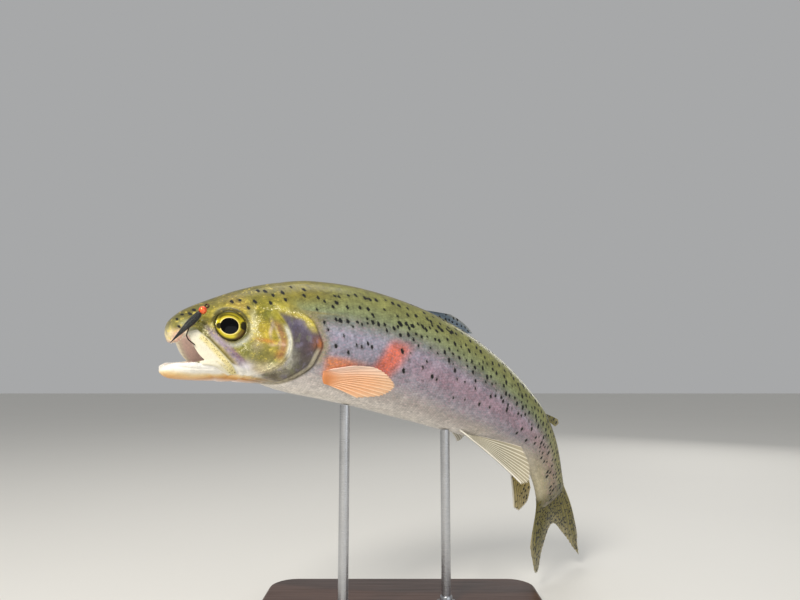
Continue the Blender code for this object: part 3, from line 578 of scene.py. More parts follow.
def spot_places():
    """Middle, half width and half height of every spot; the scatter is denser towards the tail.

    A dart is kept where a seeded draw falls under the density and no kept dart of its side is near.
    """
    rng = np.random.default_rng(SPOT_SEED)
    places = []
    for x, z in HEAD_SPOTS + SHOULDER_SPOTS:
        for side in (1, -1):
            want = np.array((x, z)) + rng.normal(0, 1.1, 2) * (side < 0)
            sections = np.arange(max(want[0] - 4, 1.2), want[0] + 5, 0.4)
            near = hull(sections[:, None], np.radians(np.linspace(4, 110, 160))[None, :]).reshape(-1, 3)
            nearest = near[np.argmin(np.hypot(near[:, 0] - want[0], near[:, 2] - want[1]))]
            places.append((*(nearest * (1, side, 1)), rng.uniform(0.75, 1.15)))
    kept = {1: [], -1: []}
    for first, first_turn, last, last_turn, count in SPOT_ROWS:
        for side in (1, -1):
            share = (np.arange(count) + rng.uniform(-0.35, 0.35, count)) / (count - 1)
            turn = first_turn + (last_turn - first_turn) * share + rng.normal(0, 2.2, count)
            middles = hull(first + (last - first) * share, np.radians(turn) * side)
            kept[side] += [(*middle, rng.uniform(0.8, 1.25)) for middle in middles]
    for _ in range(SPOT_DARTS):
        x, degrees = rng.uniform(*DART_SECTIONS), rng.uniform(*DART_DEGREES)
        side, draw = rng.choice((1, -1)), rng.uniform()
        density = np.interp(x, [60, 90, 140, 200, 281], [0.10, 0.22, 0.55, 0.7, 0.95])
        density *= np.interp(degrees, [0, 10, 30, 56, 68, 76, 92, 112],
                             [0.25, 0.7, 0.75, 0.9, 1.0, 0.5, 0.14, 0.03 + 0.3 * (x > 220)])
        gap = np.interp(x, [60, 140, 281], [3.6, 2.7, 2.1])
        middle = hull(x, math.radians(degrees) * side)
        near = any(abs(x - p[0]) < gap and np.hypot(x - p[0], middle[2] - p[2]) < gap for p in kept[side])
        if draw < density * 0.5 and not near:
            kept[side].append((*middle, rng.uniform(0.65, 1.25)))
    return np.array(places + kept[1] + kept[-1])


def spot_distance(points, spots, size):
    """Distance in millimetres to the nearest spot's edge, negative within; spots are a little upright."""
    order = np.argsort(points[:, 0])
    sorted_x = points[order, 0]
    found = np.full(len(points), 3.0)
    for x, y, z, grade in spots:
        first, last = np.searchsorted(sorted_x, (x - 4, x + 4))
        chosen = order[first:last]
        offset = points[chosen] - (x, y, z)
        slant = offset[:, 0] + 0.25 * offset[:, 2]
        distance = np.sqrt((slant / 0.85) ** 2 + (offset[:, 1] / 1.2) ** 2 + (offset[:, 2] / 1.2) ** 2)
        found[chosen] = np.minimum(found[chosen], distance - size * grade)
    return found


# ------------------------------------------------------------------ meshes
def grid_faces(rows, columns, wrap=False):
    """Quads of a grid of points numbered row by row, closed round its columns if wrapped."""
    reach = columns if wrap else columns - 1
    i, j = np.meshgrid(np.arange(rows - 1), np.arange(reach), indexing="ij")
    k = (j + 1) % columns
    return np.stack([i * columns + j, i * columns + k, (i + 1) * columns + k, (i + 1) * columns + j],
                    -1).reshape(-1, 4)


def fan_faces(ring, pole):
    """Triangles from a closed ring of points to a pole."""
    return np.stack([np.full(len(ring), pole), ring, np.roll(ring, -1)], -1)


def capped_faces(rows, columns):
    """Quads round every row and a fan at each end, to two poles numbered after the grid."""
    count = rows * columns
    return [grid_faces(rows, columns, wrap=True), fan_faces(np.arange(columns), count),
            fan_faces(np.arange(count - columns, count)[::-1], count + 1)]


def looped_faces(rows, columns):
    """Quads of a grid that is closed both round its columns and round its rows."""
    first = np.arange(columns)
    last = first + (rows - 1) * columns
    close = np.stack([last, np.roll(last, -1), np.roll(first, -1), first], -1)
    return np.concatenate([grid_faces(rows, columns, wrap=True), close])


def full_turn(count):
    """Evenly spaced angles round a full turn."""
    return np.linspace(0, 2 * math.pi, count, endpoint=False)


def volume(points, face_sets):
    """Signed volume within closed faces: the sum of the tetrahedra on each fan triangle."""
    total = 0.0
    for faces in face_sets:
        for k in range(1, faces.shape[1] - 1):
            a, b, c = points[faces[:, 0]], points[faces[:, k]], points[faces[:, k + 1]]
            total += np.einsum("ij,ij->i", a, np.cross(b, c)).sum() / 6
    return total


def add_object(name, data):
    """Object of the data, linked to the scene."""
    obj = bpy.data.objects.new(name, data)
    bpy.context.scene.collection.objects.link(obj)
    return obj


def make_mesh(name, points, face_sets, fields=None, flat_last=False):
    """Mesh object of a closed surface, faces out, with its fields as point attributes.

    All faces are smooth, but for the last set where that is asked: that set is flat, with sharp edges.
    """
    points = np.asarray(points, float).reshape(-1, 3)
    face_sets = [np.asarray(f, np.int32) for f in face_sets if len(f)]
    if volume(points - points.mean(0), face_sets) < 0:
        face_sets = [f[:, ::-1] for f in face_sets]
    sizes = np.concatenate([np.full(len(f), f.shape[1], np.int32) for f in face_sets])
    corners = np.concatenate([f.ravel() for f in face_sets])
    mesh = bpy.data.meshes.new(name)
    mesh.vertices.add(len(points))
    mesh.vertices.foreach_set("co", points.astype(np.float32).ravel())
    mesh.loops.add(len(corners))
    mesh.loops.foreach_set("vertex_index", corners)
    mesh.polygons.add(len(sizes))
    mesh.polygons.foreach_set("loop_start", np.concatenate([[0], np.cumsum(sizes)[:-1]]).astype(np.int32))
    smooth = np.ones(len(sizes), bool)
    if flat_last:
        smooth[-len(face_sets[-1]):] = False
    mesh.polygons.foreach_set("use_smooth", smooth)
    mesh.update(calc_edges=True)
    if flat_last:
        edges = np.empty(len(corners), np.int32)
        mesh.loops.foreach_get("edge_index", edges)
        sharp = np.zeros(len(mesh.edges), bool)
        sharp[edges[-face_sets[-1].size:]] = True
        mesh.edges.foreach_set("use_edge_sharp", sharp)
    for field, values in (fields or {}).items():
        values = np.asarray(values, np.float32)
        if values.shape[-1] == 3 and values.ndim == 2:
            attribute = mesh.attributes.new(field, "FLOAT_VECTOR", "POINT")
            attribute.data.foreach_set("vector", values.ravel())
        else:
            attribute = mesh.attributes.new(field, "FLOAT", "POINT")
            attribute.data.foreach_set("value", values.ravel())
    return add_object(name, mesh)


def finish_piece(obj, finish, slot, *nodes):
    """Give a piece its finish, ride it on the one body, and let it stand in for its nodes; the slot argument
    is not used.
    """
    obj.data.materials.append(finish)
    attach(obj, "root")
    if nodes:
        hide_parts(*nodes)


# ------------------------------------------------------------------ finishes
class Field:
    """A socket that can be used in arithmetic; every operation on it adds a Math node."""

    def __init__(self, tree, socket):
        self.tree, self.socket = tree, socket

    def node(self, kind, settings=None, values=None, output=0):
        """Any node: its settings are set first, then its sockets get values or links."""
        node = self.tree.nodes.new(kind)
        for name, value in (settings or {}).items():
            if name == "stops":
                ramp = node.color_ramp
                while len(ramp.elements) < len(value):
                    ramp.elements.new(0.5)
                for element, (place, paint) in zip(ramp.elements, value):
                    element.position = place
                    element.color = (*paint, 1.0)
            else:
                setattr(node, name, value)
        for name, value in (values or {}).items():
            target = node.inputs[name]
            if isinstance(value, Field):
                self.tree.links.new(value.socket, target)
            else:
                target.default_value = value
        return Field(self.tree, node.outputs[output])

    def math(self, operation, *values):
        return self.node("ShaderNodeMath", {"operation": operation}, dict(enumerate(values)))

    def __add__(self, other):
        return self.math("ADD", self, other)

    def __sub__(self, other):
        return self.math("SUBTRACT", self, other)

    def __rsub__(self, other):
        return self.math("SUBTRACT", other, self)

    def __mul__(self, other):
        return self.math("MULTIPLY", self, other)

    def __truediv__(self, other):
        return self.math("DIVIDE", self, other)

    def __pow__(self, other):
        return self.math("POWER", self, other)

    __radd__, __rmul__ = __add__, __mul__

    def least(self, other):
        return self.math("MINIMUM", self, other)

    def most(self, other):
        return self.math("MAXIMUM", self, other)

    def ease(self, low, high, start=0.0, end=1.0):
        """Smooth step between two values."""
        return self.node("ShaderNodeMapRange", {"interpolation_type": "SMOOTHSTEP"},
                         {"Value": self, "From Min": low, "From Max": high, "To Min": start, "To Max": end})

    def noise(self, scale, detail=3.0, rough=0.5, stretch=None):
        """Noise of this vector, from 0 to 1, optionally stretched along its axes."""
        vector = self
        if stretch:
            vector = self.node("ShaderNodeVectorMath", {"operation": "MULTIPLY"}, {0: self, 1: stretch})
        return self.node("ShaderNodeTexNoise", {}, {"Vector": vector, "Scale": scale, "Detail": detail,
                                                    "Roughness": rough})

    def cells(self, scale):
        """Distance of this vector to the nearest Voronoi cell's middle."""
        return self.node("ShaderNodeTexVoronoi", {}, {"Vector": self, "Scale": scale})

    def mix(self, one, two):
        """Colour one where this is 0 and colour two where it is 1; plain colours are linear."""
        one, two = (paint if isinstance(paint, Field) else (*paint, 1.0) for paint in (one, two))
        return self.node("ShaderNodeMix", {"data_type": "RGBA"}, {0: self, 6: one, 7: two}, 2)

    def bump(self, strength, distance):
        """Normal of this height."""
        return self.node("ShaderNodeBump", {}, {"Height": self, "Strength": strength, "Distance": distance})


def new_finish(name, **constants):
    """A Principled finish with its constant sockets set; gives the material, its start and its shader."""
    finish = bpy.data.materials.new(name)
    finish.use_nodes = True
    tree = finish.node_tree
    shader = tree.nodes["Principled BSDF"]
    for socket, value in constants.items():
        shader.inputs[socket.replace("_", " ")].default_value = value
    return finish, Field(tree, None), shader


def plug(start, shader, **links):
    """Link fields to the shader's sockets."""
    for socket, value in links.items():
        start.tree.links.new(value.socket, shader.inputs[socket.replace("_", " ")])


def attribute(start, name, output="Fac"):
    """A point attribute of the piece."""
    return start.node("ShaderNodeAttribute", {"attribute_name": name}, {}, output)


def object_place(start):
    """Place in the piece's own axes, in metres."""
    return start.node("ShaderNodeTexCoord", output=3)


def darker(paint, share):
    """A linear colour times a share."""
    return tuple(share * value for value in paint)


def washes(base, *layers):
    """Layers of (cover, display colour) mixed over a base one after another."""
    for cover, paint in layers:
        base = cover.mix(base, shade(*paint))
    return base


def flesh_finish(name, scaled):
    """Wet skin: the piece's own colour, mottled and spotted, with painted glints of highlight, and with
    pores on bare skin.
    """
    finish, start, shader = new_finish(name, Coat_Roughness=0.14, Coat_IOR=1.33, Specular_IOR_Level=0.35)
    paint = bpy.context.scene.trout_colours
    hue, lay = attribute(start, "hue", "Vector"), attribute(start, "lay", "Vector")
    edge, sheen = attribute(start, "spots"), attribute(start, "sheen")
    bare, inner = attribute(start, "bare"), attribute(start, "inner")
    dry = 1 - inner
    broad, patchy = lay.noise(0.11, 3.0, 0.55), lay.noise(0.33, 4.0, 0.62)
    fine, grain = lay.noise(0.9, 4.0, 0.6), lay.noise(3.2, 2.0, 0.6)
    lively = (broad.ease(0.3, 0.7, -0.12, 0.12) + patchy.ease(0.28, 0.72, -0.22, 0.22)
              + fine.ease(0.25, 0.75, -0.16, 0.16))
    tone = (lively * (1 - attribute(start, "calm") * 0.8) + 1) * grain.ease(0.3, 0.7, 0.94, 1.06)
    coloured = start.node("ShaderNodeVectorMath", {"operation": "SCALE"}, {0: hue, "Scale": tone})
    # drifts of gold and moss on the head, clouds on the gill cover, rose and blue on the silver side
    drift = lay.noise(0.42, 4.0, 0.65, stretch=(1.0, 1.0, 1.4))
    cloudy = lay.noise(0.24, 4.0, 0.58, stretch=(1.0, 1.0, 0.8))
    mossy = lay.noise(0.24, 4.0, 0.6, stretch=(1.2, 1.0, 0.8))
    pearly = lay.noise(0.7, 3.0, 0.6, stretch=(0.7, 1.0, 1.6))
    gold, veil = attribute(start, "gold"), attribute(start, "veil")
    # painted highlight: bright specks of glint, laid where the skin's glint mask allows
    spark = lay.cells(1.25).ease(0.46, 0.26).most(lay.cells(2.6).ease(0.42, 0.26) * 0.8)
    spark = spark * lay.noise(0.45, 2.0, 0.5).ease(0.42, 0.54)
    glint = spark * bare * dry * attribute(start, "glint")
    freckle = lay.cells(1.7).ease(0.46, 0.28) * lay.noise(1.1, 1.0, 0.5).ease(0.38, 0.52)
    ragged = edge + fine.ease(0.2, 0.8, -0.32, 0.32) + grain.ease(0.2, 0.8, -0.12, 0.12)
    blot = ragged.ease(0.10, -0.22) * dry
    plain = washes(coloured, (drift.ease(0.54, 0.70) * gold * 0.75, (222, 200, 88)),
                   (drift.ease(0.44, 0.32) * gold * 0.45, (76, 84, 30)),
                   (cloudy.ease(0.48, 0.66) * veil * 0.45, (132, 124, 148)),
                   (cloudy.ease(0.48, 0.32) * veil * 0.50, (78, 64, 54)),
                   (mossy.ease(0.54, 0.66) * veil * 0.40, (120, 124, 84)),
                   (pearly.ease(0.52, 0.66) * sheen * (1 - bare) * 0.75, (196, 150, 170)),
                   (pearly.ease(0.48, 0.34) * sheen * (1 - bare) * 0.75, (118, 132, 150)),
                   # the near-white painted highlight of the glints
                   (glint.least(1), (255, 246, 196)),
                   (freckle * attribute(start, "freckle") * 0.8, (118, 88, 30)),
                   (ragged.ease(0.9, 0.0) * 0.25 * dry, (74, 72, 40)))
    spotted = blot.mix(plain, paint.spot)
    plug(start, shader, Base_Color=spotted, Roughness=fine.ease(0.2, 0.8, 0.28, 0.46) + blot * 0.2,
         Metallic=sheen * (1 - blot) * 0.9,
         Coat_Weight=fine.ease(0.2, 0.8, 0.55, 0.30) * (1 - blot * 0.8))
    if scaled:
        relief = grain * 0.6 + fine
        plug(start, shader, Normal=relief.bump(0.25, 0.0001))
    else:
        pores = lay.cells(1.7).ease(0.32, 0.0)
        relief = lay.noise(1.1, 5.0, 0.62) * 1.3 + grain * 0.5 + patchy * 1.2 - pores * 0.25
        plug(start, shader, Normal=relief.bump(0.55, 0.00025))
    return finish


def place_fields(site, points, spots, size):
    """Point attributes of skin and scales: colour, straight place, spot distance, sheen and masks."""
    flat = points.reshape(-1, 3)
    return {"hue": tint(site, paints()).reshape(-1, 3), "lay": flat,
            "spots": spot_distance(site.point.reshape(-1, 3), spots, size), "sheen": metal(site).ravel(),
            "bare": (1 - site.body).ravel(), "inner": ease(-site.section, 0.2, 2.5).ravel(),
            "glint": painted_glint_places(site).ravel(), "freckle": lip_margin(site).ravel(),
            "gold": gilding(site).ravel(), "calm": calmness(site).ravel(), "veil": veiling(site).ravel()}


def skin_sections():
    """Section numbers of the skin's rows: wide on the trunk, close on the head and closest on the lips."""
    return np.concatenate([np.linspace(TAIL_TIP, 70, 106), np.arange(69.6, 14, -0.42),
                           np.arange(14, 3, -0.4), np.arange(3, -3, -0.22),
                           -3 - 36.6 * np.linspace(0, 1, 30) ** 1.3])


class TROUT_OT_skin(bpy.types.Operator):
    """Build the one skin over head, jaw, trunk and tail stalk, with the open mouth's lining"""
    bl_idname = "trout.build_skin"
    bl_label = "Skin"

    def execute(self, context):
        sizes = context.scene.trout_sizes
        sections = skin_sections()
        turn = full_turn(SKIN_COLUMNS)
        angles = turn + COLUMN_SHIFT * np.sin(2 * turn)
        site, points = surface(sections[:, None], angles[None, :], sizes.coat_depth)
        fields = place_fields(site, points, spot_places(), sizes.spot_size)
        poles = np.stack([points[0].mean(0), points[-1].mean(0)])
        fields = {name: np.concatenate([values, values[[0, -1]]]) for name, values in fields.items()}
        obj = make_mesh("skin", bend(np.concatenate([points.reshape(-1, 3), poles])),
                        capped_faces(len(sections), SKIN_COLUMNS), fields)
        finish_piece(obj, flesh_finish("wet skin", False), "skin", "head", "lower_jaw", "lip_bone_left",
                     "lip_bone_right", "gill_cover_left", "gill_cover_right", "trunk_front", "trunk_rear",
                     "tail_stalk")
        return {"FINISHED"}


SCALE_SEED = 7
PLATE_ROWS, PLATE_COLUMNS = 4, 4
PLATE_POINTS = PLATE_ROWS * PLATE_COLUMNS + 1
PLATE_BORDER = np.array([0, 1, 2, 3, 7, 11, 15, 14, 13, 12, 8, 4])
UNDER_DEPTH = 0.24            # depth of the middle of a plate's underside in the skin
FIRST_SCALES, LAST_SCALES = 24, TAIL_TIP - 2.0    # sections where the rows of scales end
REAR_START = 158              # section where the rear pieces of the scales begin
MAP_PATCH = 0.003             # width of one scale's patch in the map for the bake
MAP_EDGE = 0.02               # free margin of that map
MAP_FIRST, MAP_LENGTH = 20, 264    # the sections it spans


def scale_spacing(section, sizes):
    """Distance between rows of scales: closer behind the head and towards the tail."""
    return sizes.scale_length * np.interp(section, [45, 80, 200, 280], [0.8, 1, 0.95, 0.72])


def scale_lattice(sizes):
    """Roots of all scales as (section, angle) pairs, every other row shifted by half a column."""
    rows = [LAST_SCALES]
    while rows[-1] > FIRST_SCALES:
        rows.append(rows[-1] - scale_spacing(rows[-1], sizes))
    columns = sizes.scale_columns
    section, number = np.meshgrid(np.array(rows), np.arange(columns), indexing="ij")
    shift = (np.arange(len(rows)) % 2 * 0.5)[:, None]
    return section.ravel(), ((number + shift + 0.25) * 2 * math.pi / columns).ravel()


def scale_plates(section, angle, sizes, rng):
    """Places of every scale's plate points and the middle point under it.

    Along a (0 to 1) a plate runs tailward and rises from under the skin to its free edge; across b
    (-1 to 1) it is as wide as its column and a little crowned; its free edge is rounded.
    """
    a = np.repeat(np.linspace(0, 1, PLATE_ROWS), PLATE_COLUMNS)
    b = np.tile(np.linspace(-1, 1, PLATE_COLUMNS), PLATE_ROWS)
    a, b = np.append(a, 0.45), np.append(b, 0.0)
    spacing = scale_spacing(section, sizes)[:, None]
    width = 0.64 * np.interp(a, [0, 0.4, 0.72, 1], [0.62, 0.95, 1.0, 0.66])
    along = spacing * (1.85 * (a - 0.30) - 0.42 * b**2 * a**2)
    across = b * width * 2 * math.pi / sizes.scale_columns
    tilt = rng.normal(0, 0.010, (len(section), 2))
    lift = sizes.scale_rise * a**1.3 - 0.010 - 0.030 * b**2 * (0.4 + 0.6 * a)
    lift = lift + tilt[:, :1] * a + tilt[:, 1:] * b
    lift[:, -1] = -UNDER_DEPTH
    size = rng.uniform(0.92, 1.08, (len(section), 1))
    return section[:, None] + along * size, angle[:, None] + across * size, lift


class TROUT_OT_scales(bpy.types.Operator):
    """Lay rows of overlapping scales over the trunk and tail stalk, each a small closed plate"""
    bl_idname = "trout.build_scales"
    bl_label = "Scales"

    def execute(self, context):
        sizes = context.scene.trout_sizes
        finish = flesh_finish("scales", True)
        spots = spot_places()
        section, angle = scale_lattice(sizes)
        keep = Site(section, angle).body > 0.55
        section, angle = section[keep], angle[keep]
        rng = np.random.default_rng(SCALE_SEED)
        plate_section, plate_angle, lift = scale_plates(section, angle, sizes, rng)
        tone = rng.normal(0.97, 0.07, len(section))
        # each scale's random tone, times painted shade along its free edge and its sides, where it overlaps
        # the next
        rim = np.repeat([1, 1, 0.98, 0.80], PLATE_COLUMNS) * np.tile([0.90, 1, 1, 0.90], PLATE_ROWS)
        tone_and_edge_shade = tone[:, None] * np.append(rim, 1)
        top = grid_faces(PLATE_ROWS, PLATE_COLUMNS)
        under = fan_faces(PLATE_BORDER[::-1], PLATE_POINTS - 1)
        left, rear = np.sin(angle) > 0, section > REAR_START
        groups = {"left_front": left & ~rear, "left_rear": left & rear,
                  "right_front": ~left & ~rear, "right_rear": ~left & rear}
        for name, chosen in groups.items():
            site, points = surface(plate_section[chosen], plate_angle[chosen], sizes.coat_depth,
                                   lift[chosen])
            fields = place_fields(site, points, spots, sizes.spot_size)
            fields["hue"] = fields["hue"] * tone_and_edge_shade[chosen].reshape(-1, 1)
            fields["bare"] = 0 * fields["bare"]
            first = np.arange(chosen.sum())[:, None, None] * PLATE_POINTS
            faces = [(first + top[None]).reshape(-1, 4), (first + under[None]).reshape(-1, 3)]
            obj = make_mesh("scales_" + name, bend(points.reshape(-1, 3)), faces, fields, flat_last=True)
            self.add_map(obj, section[chosen], angle[chosen])
            finish_piece(obj, finish, "skin")
        return {"FINISHED"}

    @staticmethod
    def add_map(obj, section, angle):
        """Map for the bake: a small patch for each scale, at its root on the unrolled skin."""
        share = np.linspace(0, 1, PLATE_ROWS)
        patch = MAP_PATCH * (np.stack([np.append(np.repeat(share, PLATE_COLUMNS), 0.5),
                                       np.append(np.tile(share, PLATE_ROWS), 0.5)], -1) - 0.5)
        reach = 1 - 2 * MAP_EDGE
        root = np.stack([MAP_EDGE + reach * (section - MAP_FIRST) / MAP_LENGTH,
                         MAP_EDGE + reach * (angle / (2 * math.pi) % 1)], -1)
        places = (root[:, None, :] + patch[None]).reshape(-1, 2)
        corner = np.empty(len(obj.data.loops), np.int32)
        obj.data.loops.foreach_get("vertex_index", corner)
        layer = obj.data.uv_layers.new(name="OFBake")
        layer.data.foreach_set("uv", places[corner].astype(np.float32).ravel())


# ------------------------------------------------------------------ eyes and teeth
def eye_axes(side):
    """Outward, tailward and upward unit directions of an eye's disc."""
    forward, up = math.radians(EYE_FORWARD), math.radians(EYE_UP)
    out = np.array([-math.sin(forward) * math.cos(up), math.cos(forward) * math.cos(up), math.sin(up)])
    tailward = np.array([math.cos(forward), math.sin(forward), 0.0])
    upward = np.cross(tailward, out)
    mirror = np.array([1, side, 1])
    return out * mirror, tailward * mirror, upward * mirror


def eye_finish():
    """Golden iris, darker above and low behind with painted shade, with black bars and a bright ring round a
    black pupil.
    """
    finish, start, shader = new_finish("eye", Coat_Roughness=0.03, Coat_IOR=1.34, Specular_IOR_Level=0.1)
    paint = bpy.context.scene.trout_colours
    disc = attribute(start, "disc", "Vector")
    across = start.node("ShaderNodeSeparateXYZ", {}, {"Vector": disc})
    upward = Field(start.tree, across.socket.node.outputs[1])
    radius = (across * across + upward * upward) ** 0.5
    fine, blotch = disc.noise(6.0, 4.0, 0.65), disc.noise(2.6, 3.0, 0.6)
    spokes = disc.noise(16.0, 2.0, 0.5)
    ahead, above = across + 0.085, upward + 0.10
    egg = ((ahead * ahead * 0.95 + above * above * 1.05) ** 0.5) * ahead.ease(-0.9, 0.2, 0.94, 1.0)
    ramp = {"stops": ((0.0, shade(96, 84, 14)), (0.38, shade(206, 184, 36)), (0.62, tuple(paint.iris)),
                      (1.0, shade(252, 242, 130)))}
    gold = start.node("ShaderNodeValToRGB", ramp, {0: fine * 0.5 + spokes * 0.25 + blotch * 0.35 - 0.04})
    # painted shade: the top of the iris darkened under the socket's upper rim
    top_shade = upward.ease(0.22, 0.66) * radius.ease(0.66, 0.86) * 0.85
    arch = upward.ease(0.25, 0.50) * (egg + blotch * 0.1).ease(0.74, 0.78) * egg.ease(0.88, 0.80) * 0.7
    # painted shade: the lower rear of the iris darkened
    low_rear_shade = across.ease(0.05, 0.50) * upward.ease(0.05, -0.40) * radius.ease(0.62, 0.74) * 0.85
    fray = fine.ease(0.2, 0.8, -0.25, 0.25) + blotch.ease(0.3, 0.7, -0.15, 0.15)
    front_blot = (((across + 0.75) / 0.17) ** 2 + (above / 0.21) ** 2 + fray).ease(1.25, 0.65)
    rear_blot = (((across - 0.82) / 0.27) ** 2 + ((above - 0.06) / 0.29) ** 2 + fray).ease(1.3, 0.5)
    ring = egg.ease(0.625, 0.600) * egg.ease(0.545, 0.56)
    seen = washes(gold, (radius.ease(0.82, 0.97) * 0.95, (34, 30, 12)), (top_shade, (66, 62, 20)),
                  (arch, (40, 36, 10)), (low_rear_shade, (84, 56, 18)), (ring * 0.9, (252, 230, 140)),
                  (front_blot.most(rear_blot) * 0.96, (12, 10, 7)), (egg.ease(0.557, 0.545), (2, 2, 3)))
    outside = egg.ease(0.555, 0.59)
    plug(start, shader, Base_Color=seen, Roughness=outside.ease(0, 1, 0.10, 0.36), Metallic=outside * 0.45,
         Coat_Weight=outside.ease(0, 1, 0.25, 0.9), Normal=((fine + spokes) * outside).bump(0.35, 0.0002))
    return finish


class TROUT_OT_eyes(bpy.types.Operator):
    """Set both eyes: a shallow dome with the lens swelling in the pupil"""
    bl_idname = "trout.build_eyes"
    bl_label = "Eyes"

    def execute(self, context):
        finish = eye_finish()
        radius, sides, front, back = EYE_RADIUS + 0.15, 96, 44, 14
        swing = np.linspace(0, math.pi / 2, front + 1)[1:]
        dome_r, dome_h = radius * np.sin(swing), EYE_DOME * np.cos(swing)
        dome_h = dome_h + LENS_RISE * np.exp(-((dome_r / 3.0) ** 4)) - 0.12 * hump(dome_r, 4.5, 0.8)
        down = np.linspace(0, math.pi / 2, back + 1)[1:-1]
        profile_r = np.concatenate([dome_r, radius * np.cos(down)])
        profile_h = np.concatenate([dome_h, -EYE_DEPTH * np.sin(down)]) - EYE_SINK
        turn = full_turn(sides)
        across, upward = profile_r[:, None] * np.cos(turn), profile_r[:, None] * np.sin(turn)
        height = profile_h[:, None] + 0 * turn
        poles = [[0, 0, EYE_DOME + LENS_RISE - EYE_SINK], [0, 0, -EYE_DEPTH - EYE_SINK]]
        local = np.concatenate([np.stack([across, upward, height], -1).reshape(-1, 3), poles])
        disc = local * (1 / radius, 1 / radius, 0)
        for side, word in ((1, "left"), (-1, "right")):
            out, tailward, up = eye_axes(side)
            points = (local[:, :1] * tailward + local[:, 1:2] * up + local[:, 2:] * out
                      + np.array([EYE[0], side * EYE_OUT, EYE[1]]))
            obj = make_mesh(f"eye_{word}_dome", bend(points), capped_faces(len(profile_r), sides),
                            {"disc": disc})
            finish_piece(obj, finish, "eye", f"eye_{word}")
        return {"FINISHED"}


TOOTH_SECTION = -0.75         # the teeth stand just inside the lips' edge
TOOTH_SINK = 0.55


class TROUT_OT_teeth(bpy.types.Operator):
    """Set small backward-leaning teeth along the rims of both jaws"""
    bl_idname = "trout.build_teeth"
    bl_label = "Teeth"

    def execute(self, context):
        finish, start, shader = new_finish("teeth", Roughness=0.25, Coat_Weight=0.5)
        reach = attribute(start, "reach")
        plug(start, shader, Base_Color=reach.mix(shade(236, 214, 196), shade(250, 246, 232)))
        lower, upper = np.linspace(112, 176, 13), np.linspace(5, 82, 15)
        turns = np.radians(np.concatenate([lower, -lower, upper, -upper]))
        rim = hull(np.full(len(turns), TOOTH_SECTION), turns)
        below = np.cos(turns) < 0
        rises = np.where(below, 1.0, -1.0)
        grade = np.where(np.abs(np.degrees(turns)) < 50, 0.9, np.where(below, 1.0, 0.6))
        tall = context.scene.trout_sizes.tooth_height * grade
        rings, sides = 6, 8
        t = np.linspace(0, 1, rings)[None, :, None]
        turn = full_turn(sides)[None, None, :]
        width = 0.30 * (1 - t) ** 0.8 + 0.02
        lean = 0.45 * t**2
        x = rim[:, 0, None, None] + width * np.cos(turn) + lean
        y = rim[:, 1, None, None] * (1 - 0.02 * t) + width * np.sin(turn)
        z = (rim[:, 2, None, None] + rises[:, None, None] * (tall[:, None, None] * t - TOOTH_SINK)
             + 0 * turn)
        points = np.stack([x, y, z], -1)
        caps = points[:, [0, -1]].mean(2)
        points = np.concatenate([points.reshape(len(turns), -1, 3), caps], 1)
        quads, *ends = capped_faces(rings, sides)
        ends = np.concatenate(ends)
        quad_sets, end_sets = [], []
        for number, turned in enumerate(below):
            way = slice(None) if turned else slice(None, None, -1)
            quad_sets.append(number * points.shape[1] + quads[:, way])
            end_sets.append(number * points.shape[1] + ends[:, way])
        reach = np.tile(np.append(np.repeat(np.linspace(0, 1, rings), sides), (0, 1)), len(turns))
        faces = [np.concatenate(quad_sets), np.concatenate(end_sets)]
        obj = make_mesh("teeth", bend(points.reshape(-1, 3)), faces, {"reach": reach})
        finish_piece(obj, finish, "skin")
        return {"FINISHED"}


# ------------------------------------------------------------------ fins
def line(*stations):
    """Function of v through straight-fish points, given as (v, x, y, z)."""
    def points(v):
        return np.stack([steady_curve(column(stations, k), v) for k in (1, 2, 3)], -1)
    return points


def on_hull(side, *stations):
    """Function of v through hull places, given as (v, section, degrees from the back line, height)."""
    def points(v):
        section, degrees, height = (steady_curve(column(stations, k), v) for k in (1, 2, 3))
        angle = side * np.radians(degrees)
        return hull(section, angle) + hull_normal(section, angle) * height[:, None]
    return points


def paired_fins():
    """Pectoral and pelvic fins: name, node, root, edge, direction through, rays."""
    for side, word in ((1, "left"), (-1, "right")):
        yield (f"pectoral_{word}", f"pectoral_fin_{word}",
               on_hull(side, (0, 68.8, 118, -0.9), (1, 71.2, 135, -0.9)),
               on_hull(side, (0, 84, 106, 2.2), (0.15, 94, 104, 2.8), (0.35, 104, 109, 3.4),
                       (0.6, 109, 117, 3.6), (0.8, 105, 128, 3.4), (1, 91, 140, 2.8)),
               (0, side * 0.9, -0.43), 13)
        yield (f"pelvic_{word}", f"pelvic_fin_{word}",
               on_hull(side, (0, 167, 150, -0.8), (1, 176, 162, -0.8)),
               line((0, 208, side * 31.5, -30.0), (0.25, 211.5, side * 32.0, -26.5),
                    (0.7, 209, side * 27.5, -18.5), (1, 203.5, side * 21.0, -13.0)),
               (0.15, side * -0.65, -0.74), 10)


